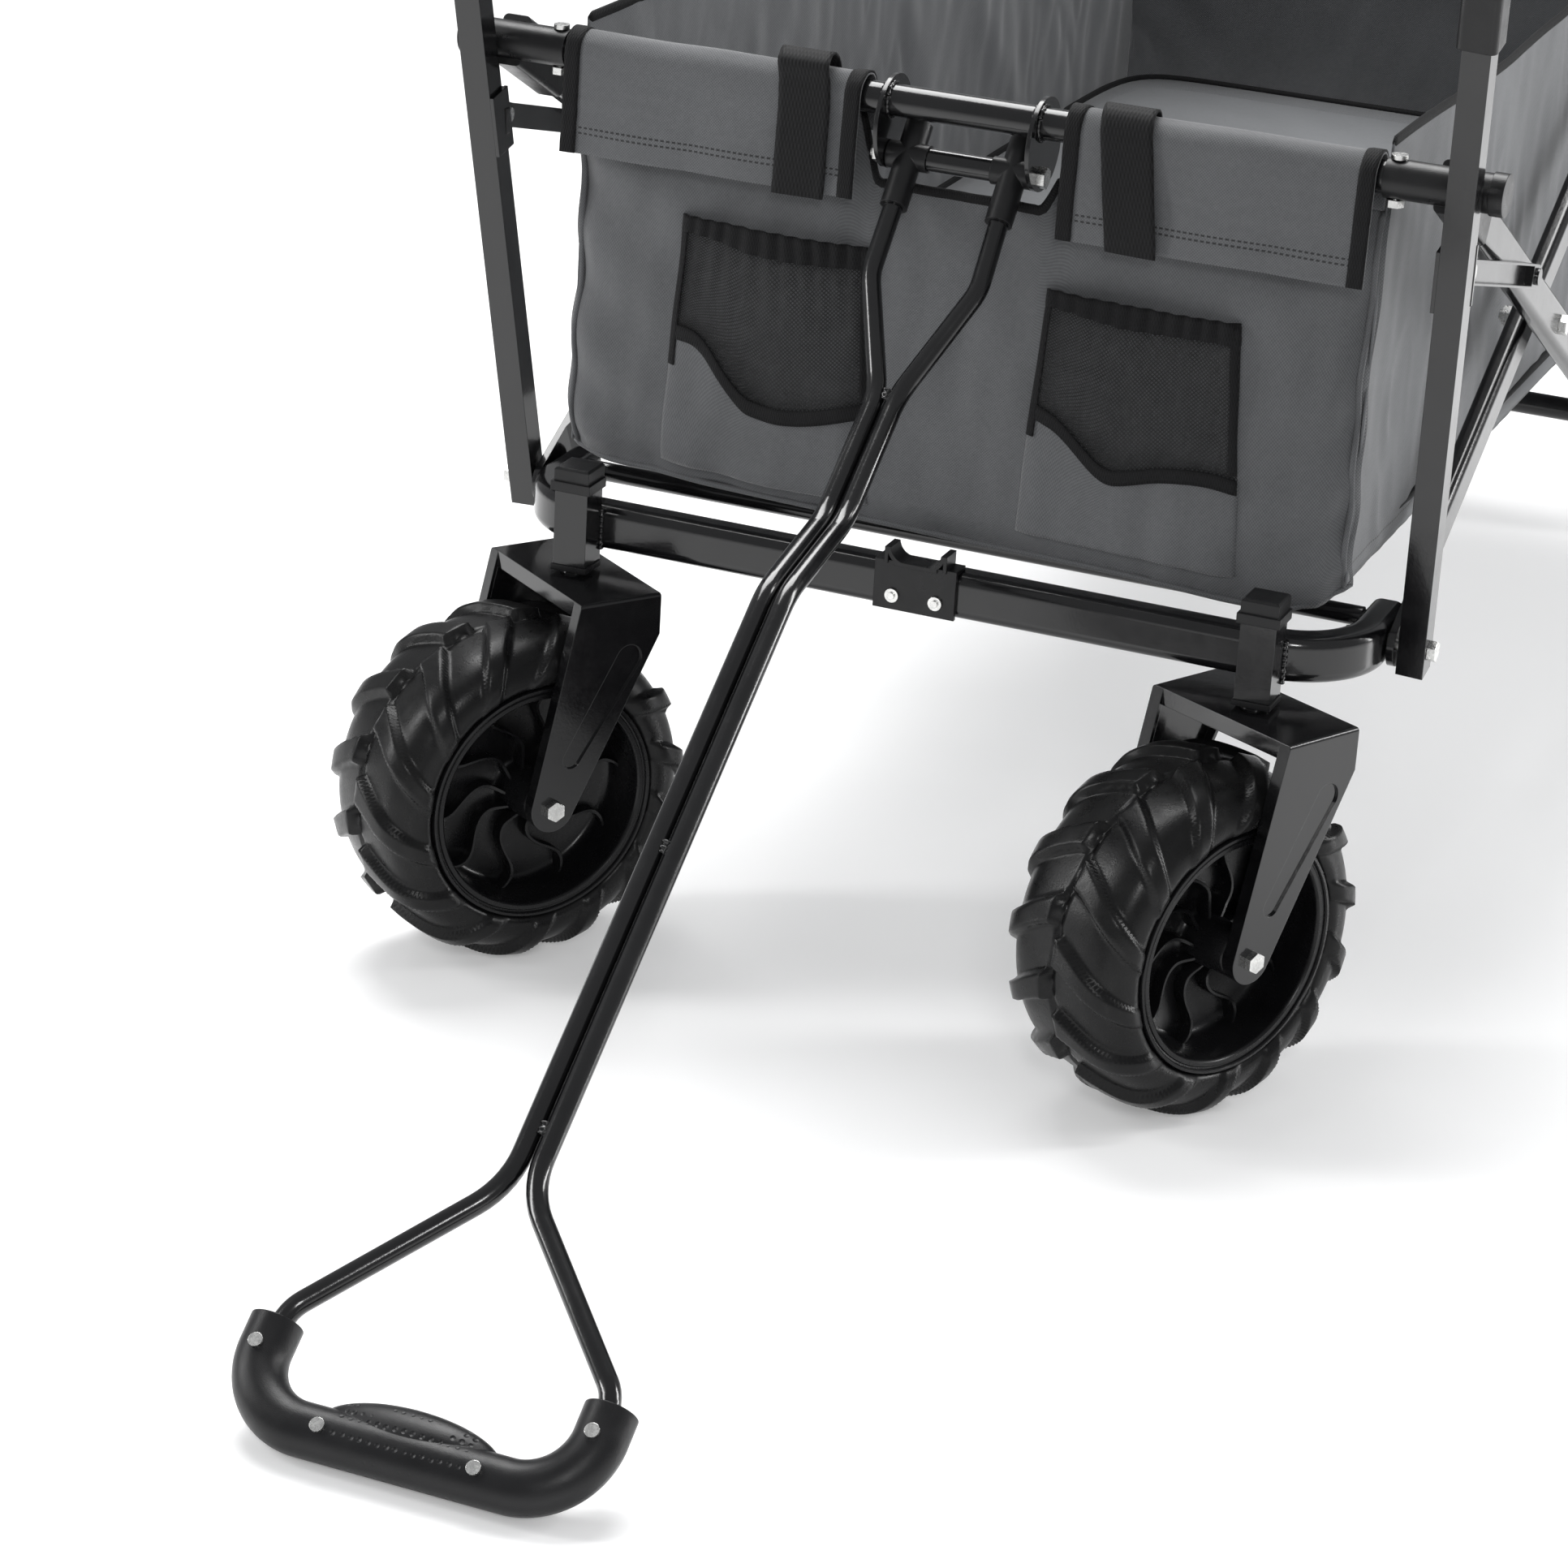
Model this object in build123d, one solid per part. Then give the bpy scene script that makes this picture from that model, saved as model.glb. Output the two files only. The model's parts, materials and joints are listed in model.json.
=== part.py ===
"""Folding beach cart: two crossed bar pairs on each side, four wide wheels, a fabric bag and a pull handle.

Frame: X across the cart, Y from front to rear, Z up. The origin is on the ground in the middle of the
front lower rail's front face. All sizes are in millimetres.
"""
from build123d import *
import math
import os

os.makedirs("parts", exist_ok=True)

# ---- driving dimensions -------------------------------------------------------------------------
# side linkage
span = 585.0  # from the front pivot to the middle pivot, and from there to the rear pivot
pivot_y = 76.0  # front pivot, behind the front face of the lower rail
pivot_z = 305.0
rail_y = 31.0  # axis of the front top tube
rail_z = 637.0
bar_height = 30.0
bar_width = 15.0
tube_wall = 1.5
bar_a_x = 336.0  # middle plane of the outer bars
bar_b_x = 315.8  # middle plane of the inner bars
tongue_x = 320.8  # middle plane of a flattened bar end
tongue_thickness = 5.0
bolt_d = 8.0
fit = 0.1  # added to a bolt's diameter for a running fit
gap = 0.5  # between neighbours that move past each other
slack = 0.4  # between a pivot bolt's head or nut and a bar that turns on it

# lower frames
frame_half_width = 317.0  # outer face of the arms
rail_height = 33.0
rail_depth = 25.0
rail_top = 322.5
corner_radius = 55.0
arm_end_y = 112.0
cross_tube_d = 14.0
cross_tube_z = 315.0

# caster sockets, forks and wheels
socket_x = 252.0
socket_size = 25.0
socket_bottom = 283.0
socket_top = 344.0
cap_top = 355.0
stem_d = 14.0
fork_plate_top = 276.5
fork_sheet = 3.0
fork_half_length = 66.0
fork_depth = 64.0
fork_flange = 10.0
fork_trail = 49.0
fork_turn_left = -35.5  # how far each front fork is swivelled at rest
fork_turn_right = -28.0
fork_end_r = 17.0
axle_z = 126.0
tyre_half_width = 54.0
rim_r = 86.0
hub_r = 17.0
hub_half_length = 54.5

# posts
post_size = 19.0
post_foot_x = 334.5
post_lean = 12.0
post_splay = 2.6
post_below = 18.0
post_length = 470.0  # from the pivot to the top of the tube
collar_size = 27.0
collar_length = 82.0
collar_overlap = 22.0
collar_bore = 16.0
strut_front_y = 40.0  # pivot of the strut behind the post
strut_front_z = 581.0
strut_rear_y = 235.0  # where the strut meets the bar
strut_height = 17.0
strut_width = 8.0

# top tubes
top_tube_d = 22.0
connector_r = 13.2
connector_inner_x = 291.5
connector_outer_x = 362.0
rail_end_x = 371.5
tee_bolt_inset = 7.0  # from a connector's inner end to its upright bolt
arm_length = 78.0
arm_seat = 50.0  # where the bar's end sits, along the arm
arm_wall = 3.0
ear_x = 54.0
ear_sheet = 3.0
ear_r = 32.0
ear_back = 7.0  # of the ear's centre behind the top tube's axis
ear_drop = 16.0

# handle
handle_pivot_z = 600.0
tee_x = 37.5
tee_r = 9.5
rod_r = 6.8
grip_r = 16.5
grip_reach = 977.0  # from the pivot to the middle of the grip
grip_half_width = 108.0
grip_corner_r = 42.0
grip_arm = 59.0  # from the middle of the grip back to the ends of its arms
handle_dip = 38.0  # how far the rods dip under the straight line near the cart

# bag
bag_half_width = 290.0
fabric = 4.0
bag_bottom = 346.0
wall_y = 43.0  # front face of the front wall
floor_thickness = 22.0
flap_bottom = 570.0
pocket_depth = 6.0
wall_notch = 66.0  # half width of the front wall's low middle
wall_notch_z = 566.0
clip_drop = 22.0  # of the clip's rivets under the rail's top

# ---- worked out from them -----------------------------------------------------------------------
middle_y = pivot_y + span
slope = (rail_z - pivot_z) / (middle_y - rail_y)
open_angle = math.atan(slope)
centre_y = pivot_y + span / 2
centre_z = pivot_z + slope * span / 2
upper_z = pivot_z + slope * span
rear_pivot_y = pivot_y + 2 * span
rear_middle = Plane(origin=(0, middle_y, 0), z_dir=(0, 1, 0))
grip_start = grip_reach - grip_arm
handle_angle = math.asin((handle_pivot_z - grip_r - 0.3) / grip_reach)
handle_plane = Plane(
    origin=(0, rail_y, handle_pivot_z),
    x_dir=(1, 0, 0),
    z_dir=(0, math.sin(handle_angle), -math.cos(handle_angle)),
)


# ---- helpers ------------------------------------------------------------------------------------
def rod_x(x0, x1, y, z, r):
    """A cylinder along X from x0 to x1."""
    return Pos((x0 + x1) / 2, y, z) * Rot(0, 90, 0) * Cylinder(r, abs(x1 - x0))


def block(x0, x1, y0, y1, z0, z1):
    return Pos((x0 + x1) / 2, (y0 + y1) / 2, (z0 + z1) / 2) * Box(abs(x1 - x0), abs(y1 - y0), abs(z1 - z0))


def group(*solids):
    """One node made of separate solids."""
    return Compound(children=[s for item in solids for s in item.solids()])


def both_sides(shape):
    return group(shape, mirror(shape, about=Plane.YZ))


def at_rear(shape):
    return mirror(shape, about=rear_middle)


def save(shape, name):
    export_step(shape, f"parts/{name}.step")


def hex_prism(x0, x1, y, z, across):
    """A nut or a bolt head along X."""
    prism = extrude(RegularPolygon(across / 2, 6, major_radius=False), abs(x1 - x0) / 2, both=True)
    return Pos((x0 + x1) / 2, y, z) * Rot(0, 90, 0) * prism


def bolt(x0, x1, y, z, d=bolt_d, across=13.0):
    """A bolt along X whose head bears on x1 and whose nut bears on x0."""
    shank = rod_x(x0 - 9, x1 + 2, y, z, d / 2)
    nut = hex_prism(x0 - 6.5, x0, y, z, across)
    head = hex_prism(x1, x1 + 5.5, y, z, across)
    return shank + nut + head


def bar(x, start, end, tongue_start=False, tongue_end=False):
    """A flat-oval tube between two pivots given as (y, z), with round ends or flattened tongues."""
    length = math.hypot(end[0] - start[0], end[1] - start[1])
    plane = Plane(
        origin=(0, start[0], start[1]),
        x_dir=(1, 0, 0),
        z_dir=(0, (end[0] - start[0]) / length, (end[1] - start[1]) / length),
    )
    tongue_run, blend_run = 42.0, 36.0
    low = tongue_run + blend_run if tongue_start else 0.0
    high = length - tongue_run - blend_run if tongue_end else length
    section = Pos(x, 0, low) * RectangleRounded(bar_width, bar_height, 5.5)
    shape = extrude(section, high - low)
    core_low = low + 18 if not tongue_start else low + 2
    core_high = high - 18 if not tongue_end else high - 2
    hollow = RectangleRounded(bar_width - 2 * tube_wall, bar_height - 2 * tube_wall, 4.0)
    shape -= extrude(Pos(x, 0, core_low) * hollow, core_high - core_low)
    for at, sign, flat in ((0.0, 1, tongue_start), (length, -1, tongue_end)):
        if flat:
            plate = Rectangle(tongue_thickness, bar_height)
            first = at + sign * tongue_run
            second = at + sign * (tongue_run + blend_run)
            shape += loft([Pos(tongue_x, 0, first) * plate, Pos(x, 0, second) * Rectangle(bar_width, bar_height)])
            middle = at + sign * tongue_run / 2
            shape += Pos(tongue_x, 0, middle) * Box(tongue_thickness, bar_height, tongue_run)
            shape += Pos(tongue_x, 0, at) * Rot(0, 90, 0) * Cylinder(bar_height / 2, tongue_thickness)
        else:
            shape += Pos(x, 0, at) * Rot(0, 90, 0) * Cylinder(bar_height / 2, bar_width)
    for at in (0.0, length):
        shape -= Pos(x, 0, at) * Rot(0, 90, 0) * Cylinder((bolt_d + fit) / 2, 60)
    return plane * shape


def drill_x(shape, y, z, d=bolt_d + fit):
    return shape - rod_x(-500, 500, y, z, d / 2)


# ---- lower frames and what is fixed to them -----------------------------------------------------
def lower_frame():
    """The U of flattened tube, with the cross tube that carries the bag's floor."""
    mid = rail_depth / 2
    x = frame_half_width - mid
    path = FilletPolyline(
        (-x, arm_end_y, rail_top - rail_height / 2),
        (-x, mid, rail_top - rail_height / 2),
        (x, mid, rail_top - rail_height / 2),
        (x, arm_end_y, rail_top - rail_height / 2),
        radius=corner_radius,
    )
    start = Plane(origin=path @ 0, x_dir=(1, 0, 0), z_dir=path % 0)
    outer = sweep(start * RectangleRounded(rail_depth, rail_height, 8.0), path=path)
    inner = sweep(
        start * RectangleRounded(rail_depth - 2 * tube_wall, rail_height - 2 * tube_wall, 6.5), path=path
    )
    shape = outer - inner
    inside = frame_half_width - rail_depth
    shape += rod_x(-inside - 0.8, inside + 0.8, pivot_y + 14, cross_tube_z, cross_tube_d / 2)
    return drill_x(shape, pivot_y, pivot_z)


def socket():
    """Square tube that holds a caster's stem, on the front face of the rail."""
    shape = block(0, socket_size, -socket_size, 0, socket_bottom, socket_top)
    shape -= block(
        tube_wall, socket_size - tube_wall, tube_wall - socket_size, -tube_wall, socket_bottom - 1, socket_top + 1
    )
    return Pos(socket_x - socket_size / 2, 0, 0) * shape


def socket_cap():
    """Plastic cap with a wider collar below it."""
    half = socket_size / 2
    shape = block(-half - 0.8, half + 0.8, -half - 0.8, half + 0.8, socket_top + 0.1, cap_top)
    shape = chamfer(shape.faces().sort_by(Axis.Z)[-1].edges(), 1.5)
    collar = block(-half - 2.6, half + 2.6, -half - 2.6, half - 0.1, socket_top - 6, socket_top + 1)
    collar -= block(-half - 0.1, half + 0.1, -half - 0.1, half + 1, socket_top - 7, socket_top + 0.1)
    return Pos(socket_x, -half, 0) * (shape + collar)


def stem_bush():
    """Flanged bush in the bottom of the socket."""
    half = socket_size / 2
    inner = half - tube_wall - 0.1
    shape = block(-half - 1, half + 1, -half - 1, half - 0.5, socket_bottom - 4, socket_bottom)
    shape += block(-inner, inner, -inner, inner, socket_bottom, socket_bottom + 24)
    shape -= Pos(0, 0, socket_bottom + 10) * Cylinder((stem_d + fit) / 2, 60)
    return Pos(socket_x, -half, 0) * shape


def leg_outline(shrink=0.0):
    """Side view of a fork leg, in the plane of the trail and the height."""
    half = fork_depth / 2 - shrink
    lines = [Line((-half, fork_plate_top), (half, fork_plate_top))]
    lines += [Line((-half, fork_plate_top - 30), (half, fork_plate_top - 30))]
    circle = Pos(-fork_trail, axle_z) * Circle(fork_end_r - shrink)
    return make_hull(circle.edges() + Curve(lines).edges())


def fork():
    """Pressed fork in its own frame: stem axis on Z, axle along X, trailing towards -Y."""
    side = Plane(origin=(fork_half_length, 0, 0), x_dir=(0, 1, 0), z_dir=(1, 0, 0))
    leg = extrude(side * leg_outline(), -fork_flange)
    leg -= extrude(side.offset(-fork_sheet) * leg_outline(fork_sheet), -fork_flange)
    panel_top, panel_low = (8.0, fork_plate_top - 45), (-fork_trail * 0.72, axle_z + 36)
    panel = make_hull(
        (Pos(*panel_top) * Circle(10)).edges() + (Pos(*panel_low) * Circle(7)).edges()
    )
    leg -= extrude(side * panel, -1.6)
    legs = leg + mirror(leg, about=Plane.YZ)
    half_y = fork_depth / 2
    low = fork_plate_top - fork_sheet
    plate = block(-fork_half_length, fork_half_length, -half_y, half_y, low, fork_plate_top)
    for sign in (-1, 1):
        rim = block(-fork_half_length, fork_half_length, sign * (half_y - fork_sheet), sign * half_y, low - 9, low)
        plate += rim
    shape = legs + plate
    bends = [
        e for e in shape.edges().filter_by(Axis.Y)
        if abs(abs(e.center().X) - fork_half_length) < 0.01 and abs(e.center().Z - fork_plate_top) < 0.01
    ]
    shape = fillet(bends, 2.6)
    shape += Pos(0, 0, (fork_plate_top + socket_bottom - 4.3) / 2) * Cylinder(
        11, socket_bottom - 4.3 - fork_plate_top
    )
    shape += Pos(0, 0, (fork_plate_top + socket_top - 12) / 2) * Cylinder(stem_d / 2, socket_top - 12 - fork_plate_top)
    return shape - rod_x(-100, 100, -fork_trail, axle_z, (bolt_d + fit) / 2)


def axle_bolt():
    """Axle with its head, its nut and the two spacers beside the hub, in the fork's frame."""
    shape = bolt(-fork_half_length, fork_half_length, -fork_trail, axle_z)
    inner = fork_half_length - fork_sheet
    for sign in (-1, 1):
        shape += rod_x(sign * (hub_half_length + gap), sign * (inner - 0.1), -fork_trail, axle_z, 8)
    return shape


def tyre():
    """Wide tyre without its lugs, in the fork's frame."""
    w, top, bead = tyre_half_width, axle_z, rim_r
    profile = Polyline(
        (-w + 9, bead), (-w, bead + 8), (-w, top - 18), (-w + 9, top - 6), (-w * 0.45, top),
        (w * 0.45, top), (w - 9, top - 6), (w, top - 18), (w, bead + 8), (w - 9, bead), (-w + 9, bead),
    )
    ring = revolve(Plane.XY * make_face(profile), Axis.X)
    return Pos(0, -fork_trail, axle_z) * ring


def hub():
    """Deep hub: rim drum, web with ribs and a centre barrel, in the fork's frame."""
    w = tyre_half_width - 9
    drum = Rot(0, 90, 0) * (Cylinder(rim_r - 0.1, 2 * w) - Cylinder(rim_r - 6, 2 * w + 2))
    web = Rot(0, 90, 0) * Cylinder(rim_r - 4, 8)
    barrel = Rot(0, 90, 0) * Cylinder(hub_r, 2 * hub_half_length)
    shape = drum + web + barrel
    for i in range(10):
        rib = Pos(0, 0, (rim_r + hub_r) / 2 - 3) * Box(36, 4, rim_r - hub_r)
        shape += Rot(i * 36, 0, 0) * rib
    shape -= Rot(0, 90, 0) * Cylinder((bolt_d + fit) / 2, 200)
    return Pos(0, -fork_trail, axle_z) * shape


def to_corner(shape, side, rear=False):
    """Puts a piece made in the fork's frame on its corner of the cart."""
    turn = 0.0 if rear else (fork_turn_right if side > 0 else fork_turn_left)
    placed = Pos(side * socket_x, -socket_size / 2, 0) * Rot(0, 0, turn) * shape
    return at_rear(placed) if rear else placed


# ---- posts --------------------------------------------------------------------------------------
def post_plane(side):
    """Local frame of a post: origin on the pivot's axis, Z up the post."""
    lean, splay = math.radians(post_lean), math.radians(post_splay)
    direction = Vector(side * math.tan(splay), -math.tan(lean), 1.0).normalized()
    across = (Vector(1, 0, 0) - direction * direction.X).normalized()
    return Plane(origin=(side * post_foot_x, pivot_y, pivot_z), x_dir=across, z_dir=direction)


def post(side):
    """Square post and, behind it, the pressed bracket that takes the strut's front pivot."""
    tube = Pos(0, 0, (post_length - post_below) / 2) * Box(post_size, post_size, post_length + post_below)
    tube -= Pos(0, 0, post_length / 2 + 20) * Box(
        post_size - 2 * tube_wall, post_size - 2 * tube_wall, post_length + 40
    )
    return drill_x(post_plane(side) * tube, pivot_y, pivot_z)


def strut_x(rear):
    """Inner face of the strut's channel: just outside the bar that it is fixed to."""
    return (bar_b_x if rear else bar_a_x) + bar_width / 2 + gap


def bracket(side, rear=False):
    """Plate on the post's inner face with a tab that reaches back to the strut's pivot."""
    x0 = strut_x(rear) - 2.5
    plane = post_plane(1)
    up = (strut_front_z - pivot_z) / math.cos(math.radians(post_lean))
    inner_face = -post_size / 2 - 0.1
    plate = Pos(inner_face - 1.25, 2, up) * Box(2.5, post_size + 4, 44)
    back = Pos(-1, post_size / 2 + 1.35, up) * Box(post_size + 3, 2.5, 44)
    tab_y0 = strut_front_y - 16
    tab = block(x0, x0 + 2.2, tab_y0, strut_front_y, strut_front_z - 9, strut_front_z + 9)
    tab += rod_x(x0, x0 + 2.2, strut_front_y, strut_front_z, 9)
    bridge_low = min(x0, bar_a_x - 2)
    bridge = block(bridge_low, bar_a_x + 10, tab_y0 - 1, tab_y0 + 4, strut_front_z - 9, strut_front_z + 9)
    shape = plane * (plate + back) + tab + bridge
    cutter = plane * (Pos(0, 0, up) * Box(post_size + 0.2, post_size + 0.2, 160))
    shape = shape - cutter
    shape = drill_x(shape, strut_front_y, strut_front_z, 6.1)
    return shape if side > 0 else mirror(shape, about=Plane.YZ)


def strut(side, rear=False):
    """Channel from the bracket to the bar, with the rivet that fixes it to the bar."""
    x0 = strut_x(rear)
    dy, dz = strut_rear_y - strut_front_y, bar_z(strut_rear_y) - strut_front_z
    length = math.hypot(dy, dz)
    plane = Plane(origin=(0, strut_front_y, strut_front_z), x_dir=(1, 0, 0), z_dir=(0, dy / length, dz / length))
    half = strut_height / 2
    shape = Pos(x0 + strut_width / 2, 0, length / 2) * Box(strut_width, strut_height, length)
    for at in (0.0, length):
        shape += Pos(x0 + strut_width / 2, 0, at) * Rot(0, 90, 0) * Cylinder(half, strut_width)
    shape -= Pos(x0 + strut_width / 2 + 1.6, 0, length / 2) * Box(strut_width, strut_height - 3.2, length - 26)
    shape -= Pos(x0, 0, 0) * Rot(0, 90, 0) * Cylinder(3.05, 60)
    rivet = Pos(x0 + strut_width + 1, 0, length) * Rot(0, 90, 0) * Cylinder(6, 2)
    placed = plane * (shape + rivet)
    return placed if side > 0 else mirror(placed, about=Plane.YZ)


def bar_z(y):
    """Height of the outer front bar's centre line."""
    return pivot_z + slope * (middle_y - y)


def bracket_rivet(side, rear=False):
    x0 = strut_x(rear)
    shape = rod_x(x0 - 4.5, x0 + strut_width + 2, strut_front_y, strut_front_z, 3)
    shape += rod_x(x0 - 4.5, x0 - 2.6, strut_front_y, strut_front_z, 5.5)
    shape += rod_x(x0 + strut_width + 0.2, x0 + strut_width + 2, strut_front_y, strut_front_z, 5.5)
    return shape if side > 0 else mirror(shape, about=Plane.YZ)


def collar(side):
    """Plastic socket on a post's top that takes a canopy pole."""
    low = post_length - collar_overlap
    shape = Pos(0, 0, low + collar_length / 2) * Box(collar_size, collar_size, collar_length)
    shape = fillet(shape.edges().filter_by(Axis.Z), 5.0)
    shape -= Pos(0, 0, low + collar_overlap / 2 - 5) * Box(post_size + 0.2, post_size + 0.2, collar_overlap + 10)
    shape -= Pos(0, 0, low + collar_length - 20) * Cylinder(collar_bore / 2, 40)
    return post_plane(side) * shape


# ---- top tubes ----------------------------------------------------------------------------------
def arm_plane():
    """Local frame of the connector's arm: origin on the top tube's axis, Z down the bar."""
    return Plane(
        origin=(0, rail_y, rail_z), x_dir=(1, 0, 0), z_dir=(0, math.cos(open_angle), -math.sin(open_angle))
    )


def connector(x_bar):
    """Plastic tee: clamps the top tube, ends in a round cap and has an arm that takes the bar."""
    shape = rod_x(connector_inner_x, connector_outer_x, rail_y, rail_z, connector_r)
    shape += rod_x(connector_outer_x, rail_end_x, rail_y, rail_z, connector_r + 1.2)
    width, height = bar_width + 2 * arm_wall, bar_height + 2 * arm_wall
    arm = Pos(x_bar, 0, arm_length / 2) * Box(width, height, arm_length)
    arm = fillet(arm.edges().filter_by(Axis.Z), 4.0)
    mouth = arm_length - arm_seat + 2
    arm -= Pos(x_bar, 0, arm_seat - 0.1 + mouth / 2) * Box(bar_width + 0.2, bar_height + 0.2, mouth)
    shape += arm_plane() * arm
    shape -= rod_x(connector_inner_x - 1, connector_outer_x - 8, rail_y, rail_z, (top_tube_d + fit) / 2)
    return shape - Pos(connector_inner_x + tee_bolt_inset, rail_y, rail_z) * Cylinder(3.1, 60)


def connector_bolt():
    """Upright bolt through the tee and the tube, with its nut below."""
    x = connector_inner_x + tee_bolt_inset
    shape = Pos(x, rail_y, rail_z - 1) * Cylinder(3, 2 * connector_r + 8)
    shape += Pos(x, rail_y, rail_z + connector_r + 1.6) * Cylinder(5.5, 3)
    nut = extrude(RegularPolygon(5.5, 6, major_radius=False), 5)
    return shape + Pos(x, rail_y, rail_z - connector_r - 5.1) * nut


def top_tube():
    half = connector_outer_x - 9
    shape = rod_x(-half, half, rail_y, rail_z, top_tube_d / 2)
    shape -= rod_x(-half - 1, half + 1, rail_y, rail_z, top_tube_d / 2 - tube_wall)
    for side in (-1, 1):
        shape -= Pos(side * (connector_inner_x + tee_bolt_inset), rail_y, rail_z) * Cylinder(3.1, 60)
    return shape


def ear(side):
    """Round plate welded on the top tube for the handle's bolt."""
    half = ear_sheet / 2
    shape = rod_x(side * ear_x - half, side * ear_x + half, rail_y + ear_back, rail_z - ear_drop, ear_r)
    shape -= rod_x(-200, 200, rail_y, rail_z, (top_tube_d + fit) / 2)
    return drill_x(shape, rail_y, handle_pivot_z)


# ---- handle -------------------------------------------------------------------------------------
def handle_rod(side):
    """Steel rod from the tee to the grip."""
    lean = handle_dip / 160
    points = [
        (side * tee_x, 22, 22 * lean), (side * (tee_x + 1), 86, 86 * lean), (side * 7.1, 168, handle_dip),
        (side * 7.1, 272, handle_dip), (side * 7.1, 358, 0), (side * 7.1, grip_start - 120, 0),
        (side * (grip_half_width - 5), grip_start - 12, 0), (side * grip_half_width, grip_start + 8, 0),
    ]
    radii = [40, 60, 60, 60, 60, 28, 20]
    path = FilletPolyline(*points, radius=radii[: len(points) - 2])
    start = Plane(origin=path @ 0, z_dir=path % 0)
    return handle_plane * sweep(start * Circle(rod_r), path=path)


def tee(side):
    """Plastic tee that holds a rod and turns on the handle's bolt."""
    tilt = math.degrees(math.atan(handle_dip / 160))
    shape = Rot(-90 + tilt, 0, 0) * Pos(0, 0, 7) * Cylinder(tee_r, 62)
    shape += Rot(0, 90, 0) * Cylinder(tee_r, 2 * (ear_x - ear_sheet / 2 - gap - tee_x))
    shape = Pos(side * tee_x, 0, 0) * shape
    shape -= Rot(0, 90, 0) * Cylinder((bolt_d + fit) / 2, 200)
    return handle_plane * shape


def grip_sweep(radius, low=grip_start):
    half = grip_half_width
    path = FilletPolyline(
        (-half, low, 0), (-half, grip_reach, 0), (half, grip_reach, 0), (half, low, 0), radius=grip_corner_r,
    )
    start = Plane(origin=path @ 0, z_dir=path % 0)
    return sweep(start * Circle(radius), path=path)


def grip_shell(upper):
    """Half of the D-shaped grip, with the palm swell on its inner side."""
    shape = grip_sweep(grip_r) + Pos(0, grip_reach - 9, 0) * scale(Sphere(grip_r - 0.5), by=(3.6, 1.25, 0.95))
    sign = -1 if upper else 1
    shape &= Pos(0, grip_reach, sign * 25) * Box(400, 400, 50 - 0.1)
    for side in (-1, 1):
        rod_hole = Pos(side * grip_half_width, grip_start - 13, 0) * Rot(90, 0, 0) * Cylinder(rod_r + 0.1, 80)
        shape -= rod_hole
        shape -= handle_plane.to_local_coords(handle_rod(side))
    for x, s in grip_screw_places():
        shape -= Pos(x, s, 0) * Cylinder(1.9, 60)
    return handle_plane * shape


def grip_screw_places():
    return [(side * x, s) for side in (-1, 1) for x, s in ((grip_half_width, grip_start + 20), (50, grip_reach + 1))]


def grip_screw(x, s):
    shape = Pos(x, s, -grip_r + 4.5) * Cylinder(1.8, 9) + Pos(x, s, -grip_r - 1.1) * Cylinder(4.5, 2)
    return handle_plane * shape


# ---- bag ----------------------------------------------------------------------------------------
def flap(x0, x1):
    """Fabric that wraps over the top tube and hangs down in front of it."""
    r_in, r_out = top_tube_d / 2 + 0.6, top_tube_d / 2 + 0.6 + fabric
    ring = rod_x(x0, x1, rail_y, rail_z, r_out) - rod_x(x0 - 1, x1 + 1, rail_y, rail_z, r_in)
    ring -= block(x0 - 1, x1 + 1, rail_y - 30, rail_y + 30, rail_z - 40, rail_z)
    front = block(x0, x1, rail_y - r_out, rail_y - r_in, flap_bottom, rail_z)
    return ring + front


def strap(x0):
    """Webbing band over a flap."""
    flap_r = top_tube_d / 2 + 0.6 + fabric
    r_in, r_out = flap_r + 0.4, flap_r + 2.4
    ring = rod_x(x0, x0 + 36, rail_y, rail_z, r_out) - rod_x(x0 - 1, x0 + 37, rail_y, rail_z, r_in)
    ring -= block(x0 - 1, x0 + 37, rail_y - 30, rail_y + 30, rail_z - 40, rail_z)
    return ring + block(x0, x0 + 36, rail_y - r_out, rail_y - r_in, flap_bottom - 4, rail_z)


def end_wall(notch=0.0):
    """Front or rear wall, with a low middle where the handle's plates and tees move."""
    shape = block(-bag_half_width, bag_half_width, wall_y, wall_y + fabric, bag_bottom, rail_z - 1)
    if notch:
        shape -= block(-notch, notch, 0, 100, wall_notch_z, rail_z)
    return shape


def side_wall(side):
    y0, y1 = wall_y + fabric + gap, 2 * middle_y - wall_y - fabric - gap
    x0 = side * (bag_half_width - fabric)
    return block(x0, side * bag_half_width, y0, y1, bag_bottom + floor_thickness + gap, rail_z + 18)


def floor_pad():
    y0, y1 = wall_y + fabric + gap, 2 * middle_y - wall_y - fabric - gap
    return block(-bag_half_width, bag_half_width, y0, y1, bag_bottom, bag_bottom + floor_thickness)


def pocket(x0, x1):
    return block(x0, x1, wall_y - gap - pocket_depth, wall_y - gap, bag_bottom + 12, 532)


# ---- build: front lower frame -------------------------------------------------------------------
save(both_sides(socket()), "caster_sockets_front")
save(both_sides(socket_cap()), "socket_caps_front")
save(both_sides(stem_bush()), "stem_bushes_front")
save(group(post(-1), post(1)), "posts_front")
save(group(bracket(-1), bracket(1)), "post_brackets_front")
save(group(collar(-1), collar(1)), "post_collars_front")


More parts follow.
